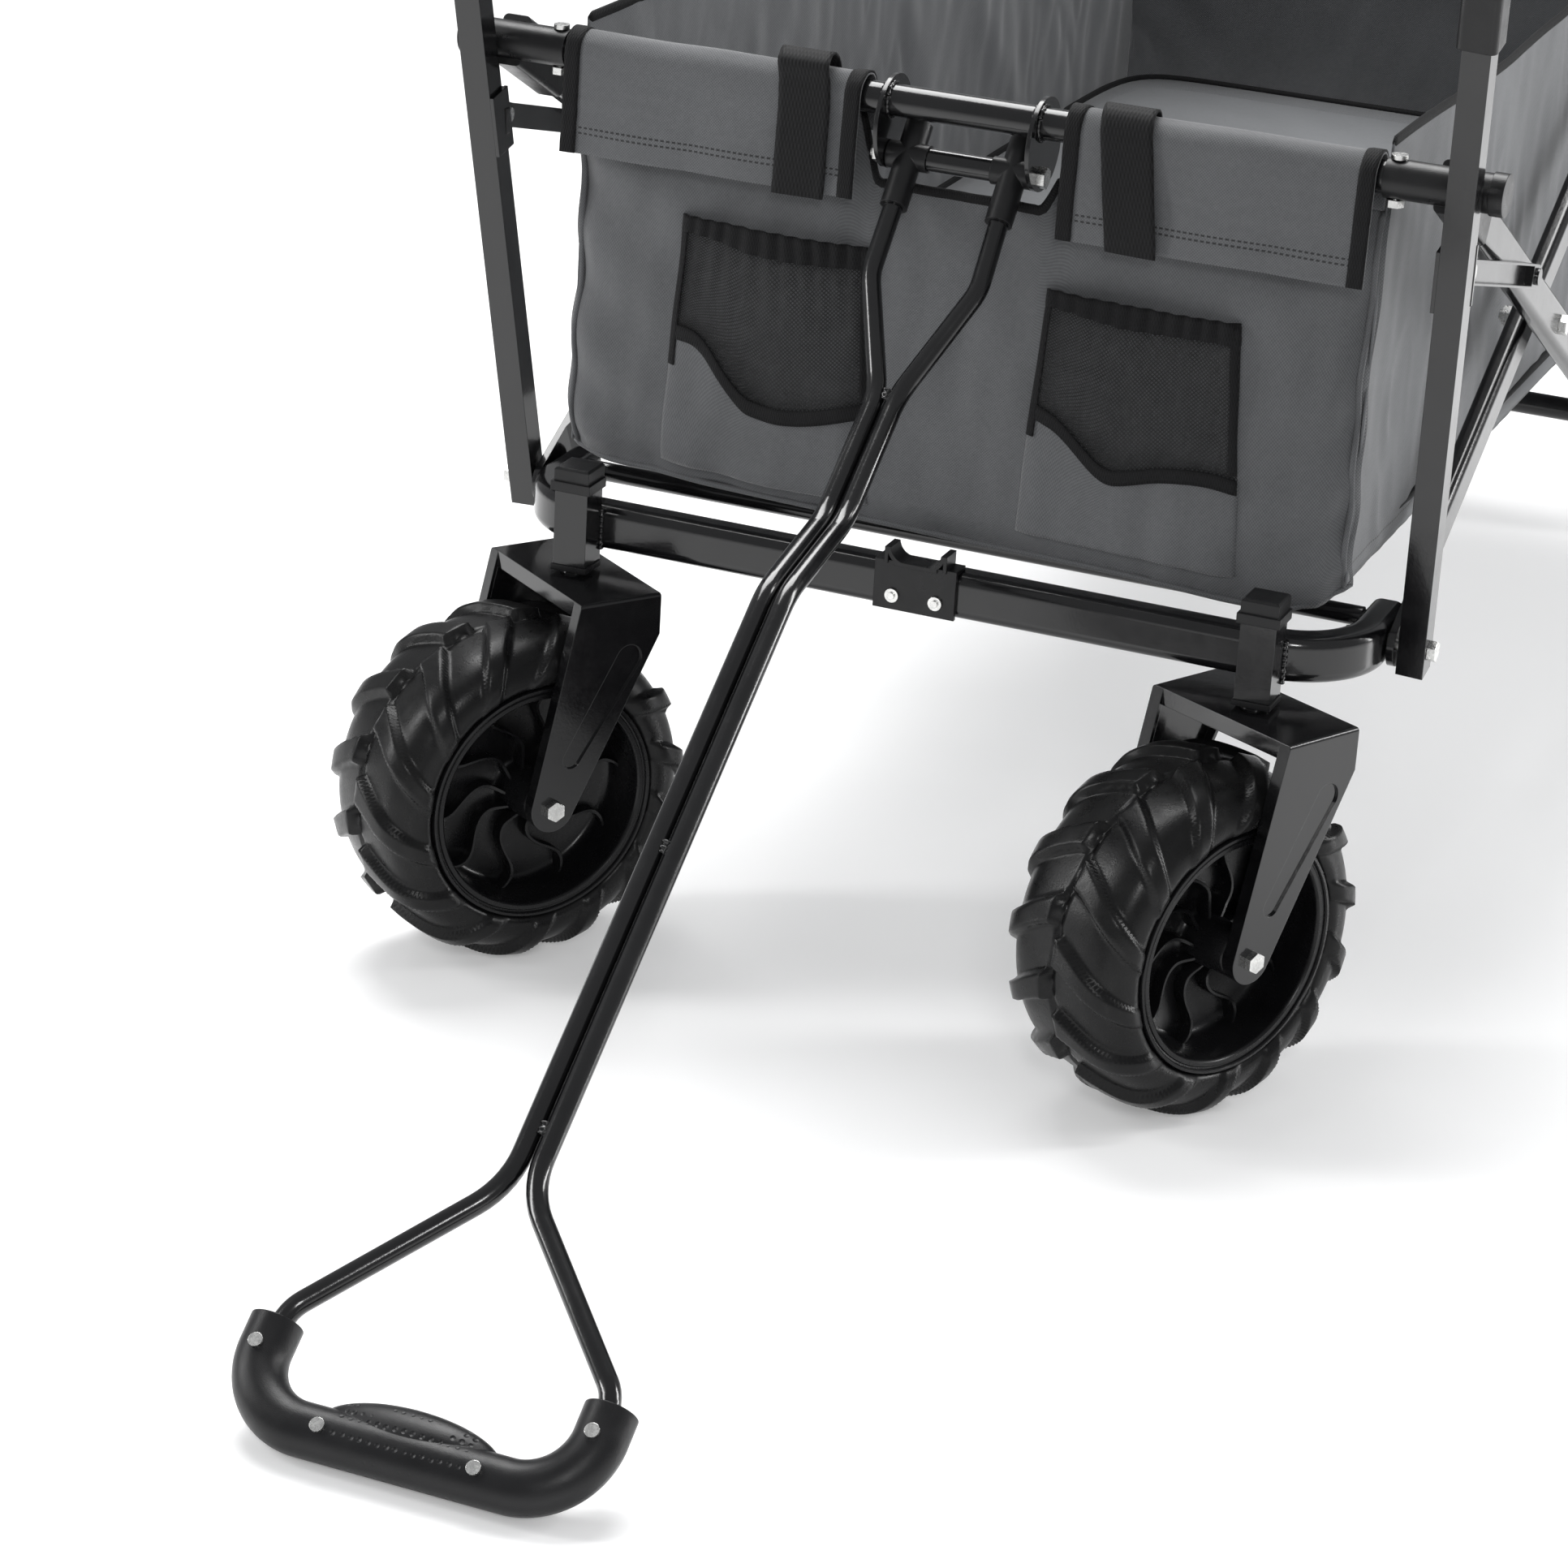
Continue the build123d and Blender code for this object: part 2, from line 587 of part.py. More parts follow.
def clip():
    """Clip on the rail whose two prongs hold the handle's rods."""
    front = -3.4
    low = rail_top - rail_height
    shape = block(-30, 30, front, -0.1, low + 0.5, rail_top + 3)
    shape += block(-30, 30, front, 14, rail_top + 0.1, rail_top + 3)
    for sign in (-1, 1):
        prong = rod_x(-9, 9, 0, 0, 14) - rod_x(-10, 10, 0, 0, 11)
        prong -= block(-10, 10, -20, 20, -1, 20)
        ring = Rot(0, 0, 90) * prong
        keep = block(0, 20, -20, 20, -20, 20) if sign > 0 else block(-20, 0, -20, 20, -20, 20)
        shape += Pos(sign * 7.5, 4, rail_top + 14) * (ring & keep)
        shape += Pos(sign * 21.6, 4, rail_top + 7) * Box(2.6, 18, 12)
    shape += block(-16, 16, -5, 13, rail_top + 0.1, rail_top + 3.2)
    for x in (-16, 16):
        shape -= Pos(x, 0, rail_top - clip_drop) * Rot(90, 0, 0) * Cylinder(2.6, 20)
    return shape


def clip_rivet(x):
    shape = Pos(x, -2.8, rail_top - clip_drop) * Rot(90, 0, 0) * Cylinder(2.5, 8)
    return shape + Pos(x, -4.4, rail_top - clip_drop) * Rot(90, 0, 0) * Cylinder(5, 1.8)


save(clip(), "handle_clip")
rivet_holes = group(*[Pos(x, 0, rail_top - clip_drop) * Rot(90, 0, 0) * Cylinder(2.6, 20) for x in (-16, 16)])
post_outer = post_foot_x + post_size / 2 + 0.4
arm_inner = frame_half_width - rail_depth
frame_bolts = [bolt(arm_inner, post_outer, pivot_y, pivot_z)]
frame_bolts += [bracket_rivet(1)]
save(
    group(both_sides(group(*frame_bolts)), clip_rivet(-16), clip_rivet(16)),
    "front_frame_bolts",
)
save(lower_frame() - rivet_holes, "front_lower_frame")

# ---- build: casters and wheels ------------------------------------------------------------------
for name, side in (("fl", -1), ("fr", 1)):
    save(to_corner(fork(), side), f"fork_{name}")
    save(to_corner(axle_bolt(), side), f"axle_{name}")
for name, side, rear in (("fl", -1, False), ("fr", 1, False), ("rl", -1, True), ("rr", 1, True)):
    save(to_corner(tyre(), side, rear), f"tyre_{name}")
    save(to_corner(hub(), side, rear), f"hub_{name}")

# ---- build: rear lower frame --------------------------------------------------------------------
save(at_rear(lower_frame()), "rear_lower_frame")
save(at_rear(both_sides(socket())), "caster_sockets_rear")
save(at_rear(both_sides(socket_cap())), "socket_caps_rear")
save(group(*[to_corner(fork(), side, True) for side in (-1, 1)]), "forks_rear")
save(group(*[to_corner(axle_bolt(), side, True) for side in (-1, 1)]), "axles_rear")
save(at_rear(group(post(-1), post(1))), "posts_rear")
save(at_rear(group(bracket(-1, True), bracket(1, True))), "post_brackets_rear")
save(at_rear(group(collar(-1), collar(1))), "post_collars_rear")
rear_bolts = group(bolt(arm_inner, post_outer, pivot_y, pivot_z), bracket_rivet(1, True))
save(at_rear(both_sides(rear_bolts)), "rear_frame_bolts")

# ---- build: side linkage ------------------------------------------------------------------------
arm_start = arm_seat / math.hypot(middle_y - rail_y, rail_z - pivot_z)
arm_mouth = (rail_y + arm_start * (middle_y - rail_y), rail_z - arm_start * (rail_z - pivot_z))


def socketed_bar(x):
    """Bar whose upper end sits in the connector's arm and whose lower end is a pivot."""
    length = math.hypot(middle_y - arm_mouth[0], arm_mouth[1] - pivot_z)
    plane = Plane(
        origin=(0, arm_mouth[0], arm_mouth[1]),
        x_dir=(1, 0, 0),
        z_dir=(0, math.cos(open_angle), -math.sin(open_angle)),
    )
    shape = extrude(Pos(x, 0, 0) * RectangleRounded(bar_width, bar_height, 5.5), length)
    hollow = RectangleRounded(bar_width - 2 * tube_wall, bar_height - 2 * tube_wall, 4.0)
    shape -= extrude(Pos(x, 0, 2) * hollow, length - 20)
    shape += Pos(x, 0, length) * Rot(0, 90, 0) * Cylinder(bar_height / 2, bar_width)
    placed = drill_x(plane * shape, middle_y, pivot_z)
    return drill_x(placed, centre_y, centre_z)


bar_b_front = bar(bar_b_x, (pivot_y, pivot_z), (middle_y, upper_z), tongue_start=True)
bar_a_rear = bar(bar_a_x, (middle_y, upper_z), (rear_pivot_y, pivot_z), tongue_end=True)
save(both_sides(socketed_bar(bar_a_x)), "bars_a_front")
save(both_sides(drill_x(bar_b_front, centre_y, centre_z)), "bars_b_front")
save(both_sides(drill_x(bar_a_rear, centre_y + span, centre_z)), "bars_a_rear")
save(at_rear(both_sides(socketed_bar(bar_b_x))), "bars_b_rear")
inner_face = bar_b_x - bar_width / 2
outer_face = bar_a_x + bar_width / 2
save(both_sides(bolt(inner_face - slack, outer_face, centre_y, centre_z)), "centre_bolts_front")
save(
    both_sides(
        group(
            bolt(inner_face - slack, outer_face, centre_y + span, centre_z),
            bolt(inner_face - slack, outer_face, middle_y, upper_z),
        )
    ),
    "centre_bolts_rear",
)
save(both_sides(strut(1)), "struts_front")
save(at_rear(both_sides(strut(1, True))), "struts_rear")

# ---- build: front top tube ----------------------------------------------------------------------
save(top_tube(), "front_top_tube")
save(both_sides(connector(bar_a_x)), "tee_connectors_front")
save(group(ear(-1), ear(1)), "handle_ears")
ear_outer = ear_x + ear_sheet / 2
handle_bolt = bolt(-ear_outer, ear_outer, rail_y, handle_pivot_z)
save(group(both_sides(connector_bolt()), handle_bolt), "front_top_bolts")

# ---- build: rear top tube and the middle cross tube ---------------------------------------------
save(at_rear(top_tube()), "rear_top_tube")
save(at_rear(both_sides(connector(bar_b_x))), "tee_connectors_rear")
cross_end = inner_face - 6.5
middle_tube = rod_x(-cross_end, cross_end, middle_y, pivot_z, 9)
middle_tube -= rod_x(-cross_end - 1, cross_end + 1, middle_y, pivot_z, (bolt_d + fit) / 2)
save(middle_tube, "middle_cross_tube")
lower_bolts = both_sides(bolt(inner_face, outer_face + slack, middle_y, pivot_z))
save(group(at_rear(both_sides(connector_bolt())), lower_bolts), "rear_top_bolts")

# ---- build: handle ------------------------------------------------------------------------------
rods = group(handle_rod(-1), handle_rod(1))
save(rods, "handle_rods")
save(group(*[tee(side) - handle_rod(side) for side in (-1, 1)]), "handle_tees")
spacer_half = tee_x - (ear_x - ear_sheet / 2 - gap - tee_x) - 0.1
spacer = rod_x(-spacer_half, spacer_half, rail_y, handle_pivot_z, 8)
save(spacer - rod_x(-99, 99, rail_y, handle_pivot_z, (bolt_d + fit) / 2), "handle_spacer")
save(grip_shell(True), "grip_upper_shell")
save(grip_shell(False), "grip_lower_shell")
save(group(*[grip_screw(x, s) for x, s in grip_screw_places()]), "grip_screws")

# ---- build: bag ---------------------------------------------------------------------------------
save(end_wall(wall_notch), "bag_front_wall")
save(group(flap(-288, -70), flap(76, 288)), "rail_flaps")
save(group(strap(-133), strap(104)), "flap_straps")
save(group(pocket(-205, -62), pocket(68, 210)), "mesh_pockets")
save(side_wall(-1), "bag_side_left")
save(side_wall(1), "bag_side_right")
save(floor_pad(), "bag_floor")
save(at_rear(end_wall()), "bag_rear_wall")
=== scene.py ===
import bpy
import json
import math
from mathutils import Matrix, Vector, noise


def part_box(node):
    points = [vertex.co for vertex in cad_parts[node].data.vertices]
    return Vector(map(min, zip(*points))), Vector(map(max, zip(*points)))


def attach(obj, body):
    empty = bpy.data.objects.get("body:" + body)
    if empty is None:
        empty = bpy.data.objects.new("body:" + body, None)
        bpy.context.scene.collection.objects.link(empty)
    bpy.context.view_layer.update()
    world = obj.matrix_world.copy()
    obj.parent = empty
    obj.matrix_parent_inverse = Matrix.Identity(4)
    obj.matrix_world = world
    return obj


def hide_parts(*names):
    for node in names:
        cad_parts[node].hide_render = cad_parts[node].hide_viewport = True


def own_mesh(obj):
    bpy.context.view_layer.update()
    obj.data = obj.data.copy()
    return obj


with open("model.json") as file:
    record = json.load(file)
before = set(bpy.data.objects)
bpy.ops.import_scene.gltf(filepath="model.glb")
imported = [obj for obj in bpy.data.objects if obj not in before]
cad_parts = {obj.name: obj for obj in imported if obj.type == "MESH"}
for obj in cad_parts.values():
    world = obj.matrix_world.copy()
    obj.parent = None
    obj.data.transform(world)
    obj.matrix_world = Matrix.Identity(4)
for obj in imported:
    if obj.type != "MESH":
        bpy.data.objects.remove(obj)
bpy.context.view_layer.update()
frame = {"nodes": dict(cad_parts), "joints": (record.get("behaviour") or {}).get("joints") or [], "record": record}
NODES = frame["nodes"]
JOINTS = {j["name"]: j for j in frame["joints"]}

# ------------------------------------------------------------------ materials
def new_material(name, color, rough, metallic=0.0):
    m = bpy.data.materials.new(name)
    m.use_nodes = True
    b = m.node_tree.nodes["Principled BSDF"]
    b.inputs["Base Color"].default_value = (*color, 1)
    b.inputs["Roughness"].default_value = rough
    b.inputs["Metallic"].default_value = metallic
    return m, m.node_tree, b


def add(nt, kind, **values):
    n = nt.nodes.new(kind)
    for k, v in values.items():
        if k in n.inputs:
            n.inputs[k].default_value = v
        else:
            setattr(n, k, v)
    return n


def math_node(nt, op, a, b=None):
    n = nt.nodes.new("ShaderNodeMath")
    n.operation = op
    for i, v in enumerate((a, b)):
        if v is None:
            continue
        if isinstance(v, (int, float)):
            n.inputs[i].default_value = v
        else:
            nt.links.new(v, n.inputs[i])
    return n.outputs[0]


def ramp(nt, source, stops):
    n = nt.nodes.new("ShaderNodeValToRGB")
    e = n.color_ramp.elements
    e[0].position, e[0].color = stops[0][0], (*stops[0][1], 1)
    e[1].position, e[1].color = stops[-1][0], (*stops[-1][1], 1)
    for p, c in stops[1:-1]:
        k = e.new(p)
        k.color = (*c, 1)
    nt.links.new(source, n.inputs[0])
    return n.outputs[0]


def bump(nt, bsdf, height, strength, distance, bevel=0.0):
    n = add(nt, "ShaderNodeBump", Strength=strength, Distance=distance)
    nt.links.new(height, n.inputs["Height"])
    if bevel:
        v = add(nt, "ShaderNodeBevel", samples=4, Radius=bevel)
        nt.links.new(v.outputs[0], n.inputs["Normal"])
    nt.links.new(n.outputs[0], bsdf.inputs["Normal"])


def grain(nt, scale, detail=3.0, rough=0.6):
    t = nt.nodes.new("ShaderNodeTexCoord")
    n = add(nt, "ShaderNodeTexNoise", Scale=scale, Detail=detail, Roughness=rough)
    nt.links.new(t.outputs["Object"], n.inputs["Vector"])
    return n.outputs["Fac"]


def hard_material(name, dark, light, rough, peel_scale, peel, cloud=9.0, rough_to=None, coat=0.0,
                  metallic=0.0, bevel=0.0009):
    """Paint, plastic or metal: cloudy colour, roughness that varies and a fine surface grain."""
    m, nt, b = new_material(name, dark, rough, metallic)
    slow = grain(nt, cloud, 4.0)
    nt.links.new(ramp(nt, slow, [(0.35, dark), (0.7, light)]), b.inputs["Base Color"])
    smear = grain(nt, cloud * 5, 5.0, 0.7)
    low, high = rough, rough_to or rough * 1.5
    nt.links.new(ramp(nt, smear, [(0.35, (low,) * 3), (0.75, (high,) * 3)]), b.inputs["Roughness"])
    b.inputs["Coat Weight"].default_value = coat
    b.inputs["Coat Roughness"].default_value = 0.08
    bump(nt, b, grain(nt, peel_scale, 2.0), peel, 0.0006, bevel)
    return m


paint = hard_material("black_powder_coat", (0.003, 0.003, 0.0034), (0.006, 0.006, 0.0065), 0.13, 420, 0.08,
                      rough_to=0.24, coat=0.3)
plastic = hard_material("black_moulded_plastic", (0.005, 0.005, 0.0055), (0.010, 0.010, 0.0105), 0.26,
                        1500, 0.16, rough_to=0.42)
hub_plastic = hard_material("black_hub_plastic", (0.003, 0.003, 0.0035), (0.007, 0.007, 0.0075), 0.22,
                            900, 0.08, rough_to=0.36, bevel=0)
rubber = hard_material("soft_tyre_rubber", (0.004, 0.004, 0.0044), (0.009, 0.009, 0.009), 0.24, 700, 0.16,
                       cloud=14, rough_to=0.42, bevel=0)
zinc = hard_material("zinc_plate", (0.55, 0.55, 0.54), (0.78, 0.78, 0.76), 0.20, 500, 0.15,
                     cloud=60, rough_to=0.42, metallic=1.0, bevel=0.0005)


def grip_material():
    m = hard_material("grip_plastic", (0.006, 0.006, 0.0066), (0.011, 0.011, 0.012), 0.30, 1700,
                      0.2, rough_to=0.44)
    nt = m.node_tree
    b = nt.nodes["Principled BSDF"]
    t = nt.nodes.new("ShaderNodeTexCoord")
    v = add(nt, "ShaderNodeTexVoronoi", Scale=175.0, Randomness=0.12)
    nt.links.new(t.outputs["Object"], v.inputs["Vector"])
    pits = ramp(nt, v.outputs["Distance"], [(0.12, (0, 0, 0)), (0.34, (1, 1, 1))])
    s = nt.nodes.new("ShaderNodeSeparateXYZ")
    nt.links.new(t.outputs["Object"], s.inputs[0])
    across = math_node(nt, "LESS_THAN", math_node(nt, "ABSOLUTE", s.outputs[0]), 0.043)
    height = math_node(nt, "MAXIMUM", pits, math_node(nt, "SUBTRACT", 1.0, across))
    old = [n for n in nt.nodes if n.type == "BUMP"][0]
    n2 = add(nt, "ShaderNodeBump", Strength=0.75, Distance=0.0007)
    nt.links.new(height, n2.inputs["Height"])
    nt.links.new(old.outputs[0], n2.inputs["Normal"])
    nt.links.new(n2.outputs[0], b.inputs["Normal"])
    return m


grip_mat = grip_material()
for m, level in ((rubber, 0.20), (hub_plastic, 0.26), (plastic, 0.32), (grip_mat, 0.28), (paint, 0.42)):
    m.node_tree.nodes["Principled BSDF"].inputs["Specular IOR Level"].default_value = level


STITCH_WIDTH = 0.0014
STITCHES_PER_METRE = 240.0


def fabric_material(name, dark, light, pitch, rough=0.8, sheen=0.25, strength=0.55, stitches=(), rib=False):
    """Woven cloth on UVs in metres: over-and-under threads, slow dirt and rows of stitches at v = const."""
    m, nt, b = new_material(name, dark, rough)
    uv = nt.nodes.new("ShaderNodeUVMap")
    s = nt.nodes.new("ShaderNodeSeparateXYZ")
    nt.links.new(uv.outputs[0], s.inputs[0])
    k = 2 * math.pi / pitch
    a = math_node(nt, "SINE", math_node(nt, "MULTIPLY", s.outputs[0], k))
    c = math_node(nt, "SINE", math_node(nt, "MULTIPLY", s.outputs[1], k if not rib else k * 0.28))
    weave = math_node(nt, "MULTIPLY", a, c)
    fine = math_node(nt, "ADD", math_node(nt, "MULTIPLY", weave, 0.5), 0.5)
    slub = grain(nt, 260, 2.0)
    threads = math_node(nt, "MULTIPLY", fine, 0.75)
    mixed = math_node(nt, "ADD", threads, math_node(nt, "MULTIPLY", slub, 0.35))
    color = ramp(nt, mixed, [(0.1, dark), (0.9, light)])
    slow = ramp(nt, grain(nt, 7, 4.0), [(0.3, (0.80,) * 3), (0.7, (1.0,) * 3)])
    mul = nt.nodes.new("ShaderNodeMix")
    mul.data_type = "RGBA"
    mul.blend_type = "MULTIPLY"
    mul.inputs["Factor"].default_value = 1.0
    nt.links.new(color, mul.inputs["A"])
    nt.links.new(slow, mul.inputs["B"])
    out = mul.outputs["Result"]
    height = mixed
    for v0, along in stitches:
        away = math_node(nt, "ABSOLUTE", math_node(nt, "SUBTRACT", s.outputs[1 - along], v0))
        near = math_node(nt, "LESS_THAN", away, STITCH_WIDTH / 2)
        phase = math_node(nt, "FRACT", math_node(nt, "MULTIPLY", s.outputs[along], STITCHES_PER_METRE))
        dash = math_node(nt, "LESS_THAN", phase, 0.62)
        mask = math_node(nt, "MULTIPLY", near, dash)
        st = nt.nodes.new("ShaderNodeMix")
        st.data_type = "RGBA"
        nt.links.new(mask, st.inputs["Factor"])
        nt.links.new(out, st.inputs["A"])
        st.inputs["B"].default_value = (dark[0] * 0.25, dark[1] * 0.25, dark[2] * 0.25, 1)
        out = st.outputs["Result"]
        height = math_node(nt, "SUBTRACT", height, math_node(nt, "MULTIPLY", near, 0.8))
    nt.links.new(out, b.inputs["Base Color"])
    b.inputs["Sheen Weight"].default_value = sheen
    b.inputs["Sheen Roughness"].default_value = 0.4
    bump(nt, b, height, strength, 0.0005)
    return m


GREY_D, GREY_L = (0.054, 0.056, 0.060), (0.112, 0.115, 0.120)
cloth = fabric_material("grey_oxford", GREY_D, GREY_L, 0.0021)
cloth_flap = fabric_material("grey_oxford_flap", GREY_D, GREY_L, 0.0021, stitches=((0.0145, 0), (0.0185, 0)))
cloth_in = fabric_material("grey_lining", (0.080, 0.083, 0.088), (0.150, 0.155, 0.162), 0.0021,
                           stitches=((0.012, 0),))
floor_cloth = fabric_material("grey_floor_cloth", (0.100, 0.104, 0.110), (0.165, 0.171, 0.179), 0.0021)
webbing = fabric_material("black_webbing", (0.003, 0.003, 0.003), (0.012, 0.012, 0.013), 0.0026, rough=0.65,
                          sheen=0.04, strength=0.8, rib=True)
binding = fabric_material("black_binding", (0.003, 0.003, 0.003), (0.010, 0.010, 0.011), 0.0018, rough=0.7,
                          sheen=0.03, strength=0.8, rib=True)


def net_material():
    """Black net whose holes let the grey wall behind show through."""
    m, nt, b = new_material("black_net", (0.010, 0.010, 0.011), 0.6)
    uv = nt.nodes.new("ShaderNodeUVMap")
    s = nt.nodes.new("ShaderNodeSeparateXYZ")
    nt.links.new(uv.outputs[0], s.inputs[0])
    k = 2 * math.pi / 0.0030
    plus = math_node(nt, "ADD", s.outputs[0], s.outputs[1])
    minus = math_node(nt, "SUBTRACT", s.outputs[0], s.outputs[1])
    p = math_node(nt, "SINE", math_node(nt, "MULTIPLY", plus, k))
    q = math_node(nt, "SINE", math_node(nt, "MULTIPLY", minus, k))
    thread = math_node(nt, "MAXIMUM", p, q)
    solid = ramp(nt, thread, [(0.45, (0.10,) * 3), (0.75, (0.96,) * 3)])
    nt.links.new(solid, b.inputs["Alpha"])
    nt.links.new(ramp(nt, grain(nt, 90), [(0.3, (0.008,) * 3), (0.8, (0.020,) * 3)]), b.inputs["Base Color"])
    bump(nt, b, thread, 0.5, 0.0004)
    return m


net = net_material()
for m in (net, webbing, binding):
    m.node_tree.nodes["Principled BSDF"].inputs["Specular IOR Level"].default_value = 0.16

# ------------------------------------------------------------------ mesh helpers
def make_mesh(name, verts, faces, mat, body, uvs=None, smooth=True):
    me = bpy.data.meshes.new(name)
    me.from_pydata([tuple(v) for v in verts], [], faces)
    if uvs:
        layer = me.uv_layers.new(name="UVMap")
        for loop in me.loops:
            layer.data[loop.index].uv = uvs[loop.vertex_index]
    me.validate()
    o = bpy.data.objects.new(name, me)
    bpy.context.scene.collection.objects.link(o)
    me.materials.append(mat)
    if smooth:
        me.polygons.foreach_set("use_smooth", [True] * len(me.polygons))
    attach(o, body)
    return o


def grid(name, nu, nv, fn, mat, body, thick=0.0009):
    """A sheet from fn(u, v) with u, v in 0..1; UVs are in metres along the middle lines."""
    verts = [Vector(fn(i / nu, j / nv)) for j in range(nv + 1) for i in range(nu + 1)]

    def at(i, j):
        return verts[j * (nu + 1) + i]

    us, vs = [0.0], [0.0]
    for i in range(nu):
        us.append(us[-1] + (at(i + 1, nv // 2) - at(i, nv // 2)).length)
    for j in range(nv):
        vs.append(vs[-1] + (at(nu // 2, j + 1) - at(nu // 2, j)).length)
    uvs = [(us[i], vs[j]) for j in range(nv + 1) for i in range(nu + 1)]
    faces = [(j * (nu + 1) + i, j * (nu + 1) + i + 1, (j + 1) * (nu + 1) + i + 1, (j + 1) * (nu + 1) + i)
             for j in range(nv) for i in range(nu)]
    o = make_mesh(name, verts, faces, mat, body, uvs)
    if thick:
        s = o.modifiers.new("thickness", "SOLIDIFY")
        s.thickness, s.offset = thick, 0.0
    return o


def catmull(points, n):
    """n points evenly spread on a smooth line through the given ones."""
    pts = [Vector(p) for p in points]
    ext = [2 * pts[0] - pts[1]] + pts + [2 * pts[-1] - pts[-2]]
    dense = []
    for k in range(1, len(ext) - 2):
        p0, p1, p2, p3 = ext[k - 1:k + 3]
        for t in range(12):
            t /= 12
            dense.append(0.5 * ((2 * p1) + (p2 - p0) * t + (2 * p0 - 5 * p1 + 4 * p2 - p3) * t * t
                                + (3 * p1 - p0 - 3 * p2 + p3) * t ** 3))
    dense.append(ext[-2])
    d = [0.0]
    for a, b in zip(dense, dense[1:]):
        d.append(d[-1] + (b - a).length)
    out, k = [], 0
    for i in range(n):
        want = d[-1] * i / (n - 1)
        while k < len(d) - 2 and d[k + 1] < want:
            k += 1
        f = (want - d[k]) / max(d[k + 1] - d[k], 1e-9)
        out.append(dense[k].lerp(dense[k + 1], min(max(f, 0), 1)))
    return out


def tube(name, points, radius, mat, body, sides=10, rough=0.0, flat=1.0):
    """A closed round or oval line through points; rough makes its radius uneven, as a weld bead's is."""
    verts, faces, uvs, run = [], [], [], 0.0
    n = len(points)
    for i, p in enumerate(points):
        t = (points[min(i + 1, n - 1)] - points[max(i - 1, 0)]).normalized()
        up = Vector((0, 0, 1)) if abs(t.z) < 0.9 else Vector((0, 1, 0))
        a = t.cross(up).normalized()
        b = a.cross(t)
        if i:
            run += (p - points[i - 1]).length
        for s in range(sides):
            w = 2 * math.pi * s / sides
            uneven = noise.noise(p * 420 + Vector((s, 0, 0)))
            r = radius * (1 + rough * uneven + rough * 0.7 * math.sin(run * 1500))
            if i in (0, n - 1):
                r *= 0.35
            verts.append(p + a * math.cos(w) * r * flat + b * math.sin(w) * r)
            uvs.append((run, w * radius))
    for i in range(n - 1):
        for s in range(sides):
            q = (s + 1) % sides
            faces.append((i * sides + s, i * sides + q, (i + 1) * sides + q, (i + 1) * sides + s))
    faces.append(tuple(range(sides))[::-1])
    faces.append(tuple((n - 1) * sides + s for s in range(sides)))
    return make_mesh(name, verts, faces, mat, body, uvs)


def smoothstep(a, b, x):
    t = min(max((x - a) / (b - a), 0.0), 1.0)
    return t * t * (3 - 2 * t)


def ripple(x, y, z, scale, seed=0.0):
    return noise.noise(Vector((x * scale + seed, y * scale - seed, z * scale + 2.7 * seed)))


# ------------------------------------------------------------------ wheels
TYRE_PROFILE = [(0, 119.5), (10, 119.3), (22, 118.6), (32, 117.2), (40, 114.4), (46, 110.0), (50.5, 103.5),
                (52.6, 96.5), (52.6, 91.5), (50.6, 88.3), (46.0, 86.8)]
LUGS = 14
STEPS_PER_LUG = 30
LUG_HEIGHT = 6.4
LUG_HALF_WIDTH = 10.6
LUG_SWEEP = math.radians(27)
GROOVE_DEPTH = 2.6
GROOVE_WEAVE = 2.2  # how far the middle groove swings to each side


def profile_points(n):
    pts = catmull([(w, r, 0) for w, r in TYRE_PROFILE], n)
    out, run = [], 0.0
    for i, p in enumerate(pts):
        a, b = pts[max(i - 1, 0)], pts[min(i + 1, n - 1)]
        t = (b - a).normalized()
        if i:
            run += (p - pts[i - 1]).length
        out.append((p.x, p.y, -t.y, t.x, run))
    return out


def lug_height(side, q, r, psi):
    """How far a chevron bar stands out of the carcass at angle psi, q mm along the profile."""
    pitch = 2 * math.pi / LUGS
    sweep = LUG_SWEEP * (min(q, 78) / 78) ** 1.35
    start = pitch * (0.25 if side > 0 else -0.25)
    d = (psi + sweep - start + pitch / 2) % pitch - pitch / 2
    along = abs(d) * r
    hook = 1.0 - smoothstep(0, 9, q)
    half = LUG_HALF_WIDTH - 3.2 * min(q, 70) / 70 + 1.4 * hook
    edge = 1.0 - smoothstep(half - 1.5, half + 1.3, along)
    ends = smoothstep(0.8, 3.2, q - 0.04 * along * along * hook) * (1 - smoothstep(60, 76, q))
    return (LUG_HEIGHT - 2.4 * smoothstep(38, 66, q)) * edge * ends


def build_tyre(name, node, body, joint):
    j = JOINTS[joint]
    centre, axis = Vector(j["pos_m"]) * 1000, Vector(j["axis"])
    turn = math.atan2(axis.y, axis.x)
    half = profile_points(34)
    ring = [(-1,) + p for p in reversed(half[1:])] + [(1,) + p for p in half]
    steps = LUGS * STEPS_PER_LUG
    verts, faces = [], []
    for i in range(steps):
        psi = 2 * math.pi * i / steps
        for side, w, r, nw, nr, q in ring:
            h = lug_height(side, q, r, psi)
            weave = GROOVE_WEAVE * math.sin(LUGS * psi)
            from_groove = abs(side * w - weave)
            groove = GROOVE_DEPTH * (1 - smoothstep(0.6, 3.4, from_groove)) if w < 12 else 0.0
            rr = r + nr * (h - groove)
            x = side * (w + nw * h)
            v = Vector((x, -rr * math.cos(psi), rr * math.sin(psi)))
            verts.append((Matrix.Rotation(turn, 3, "Z") @ v + centre) / 1000)
    m = len(ring)
    for i in range(steps):
        k = (i + 1) % steps
        for s in range(m - 1):
            faces.append((i * m + s, k * m + s, k * m + s + 1, i * m + s + 1))
    o = make_mesh(name, verts, faces, rubber, body)
    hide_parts(node)


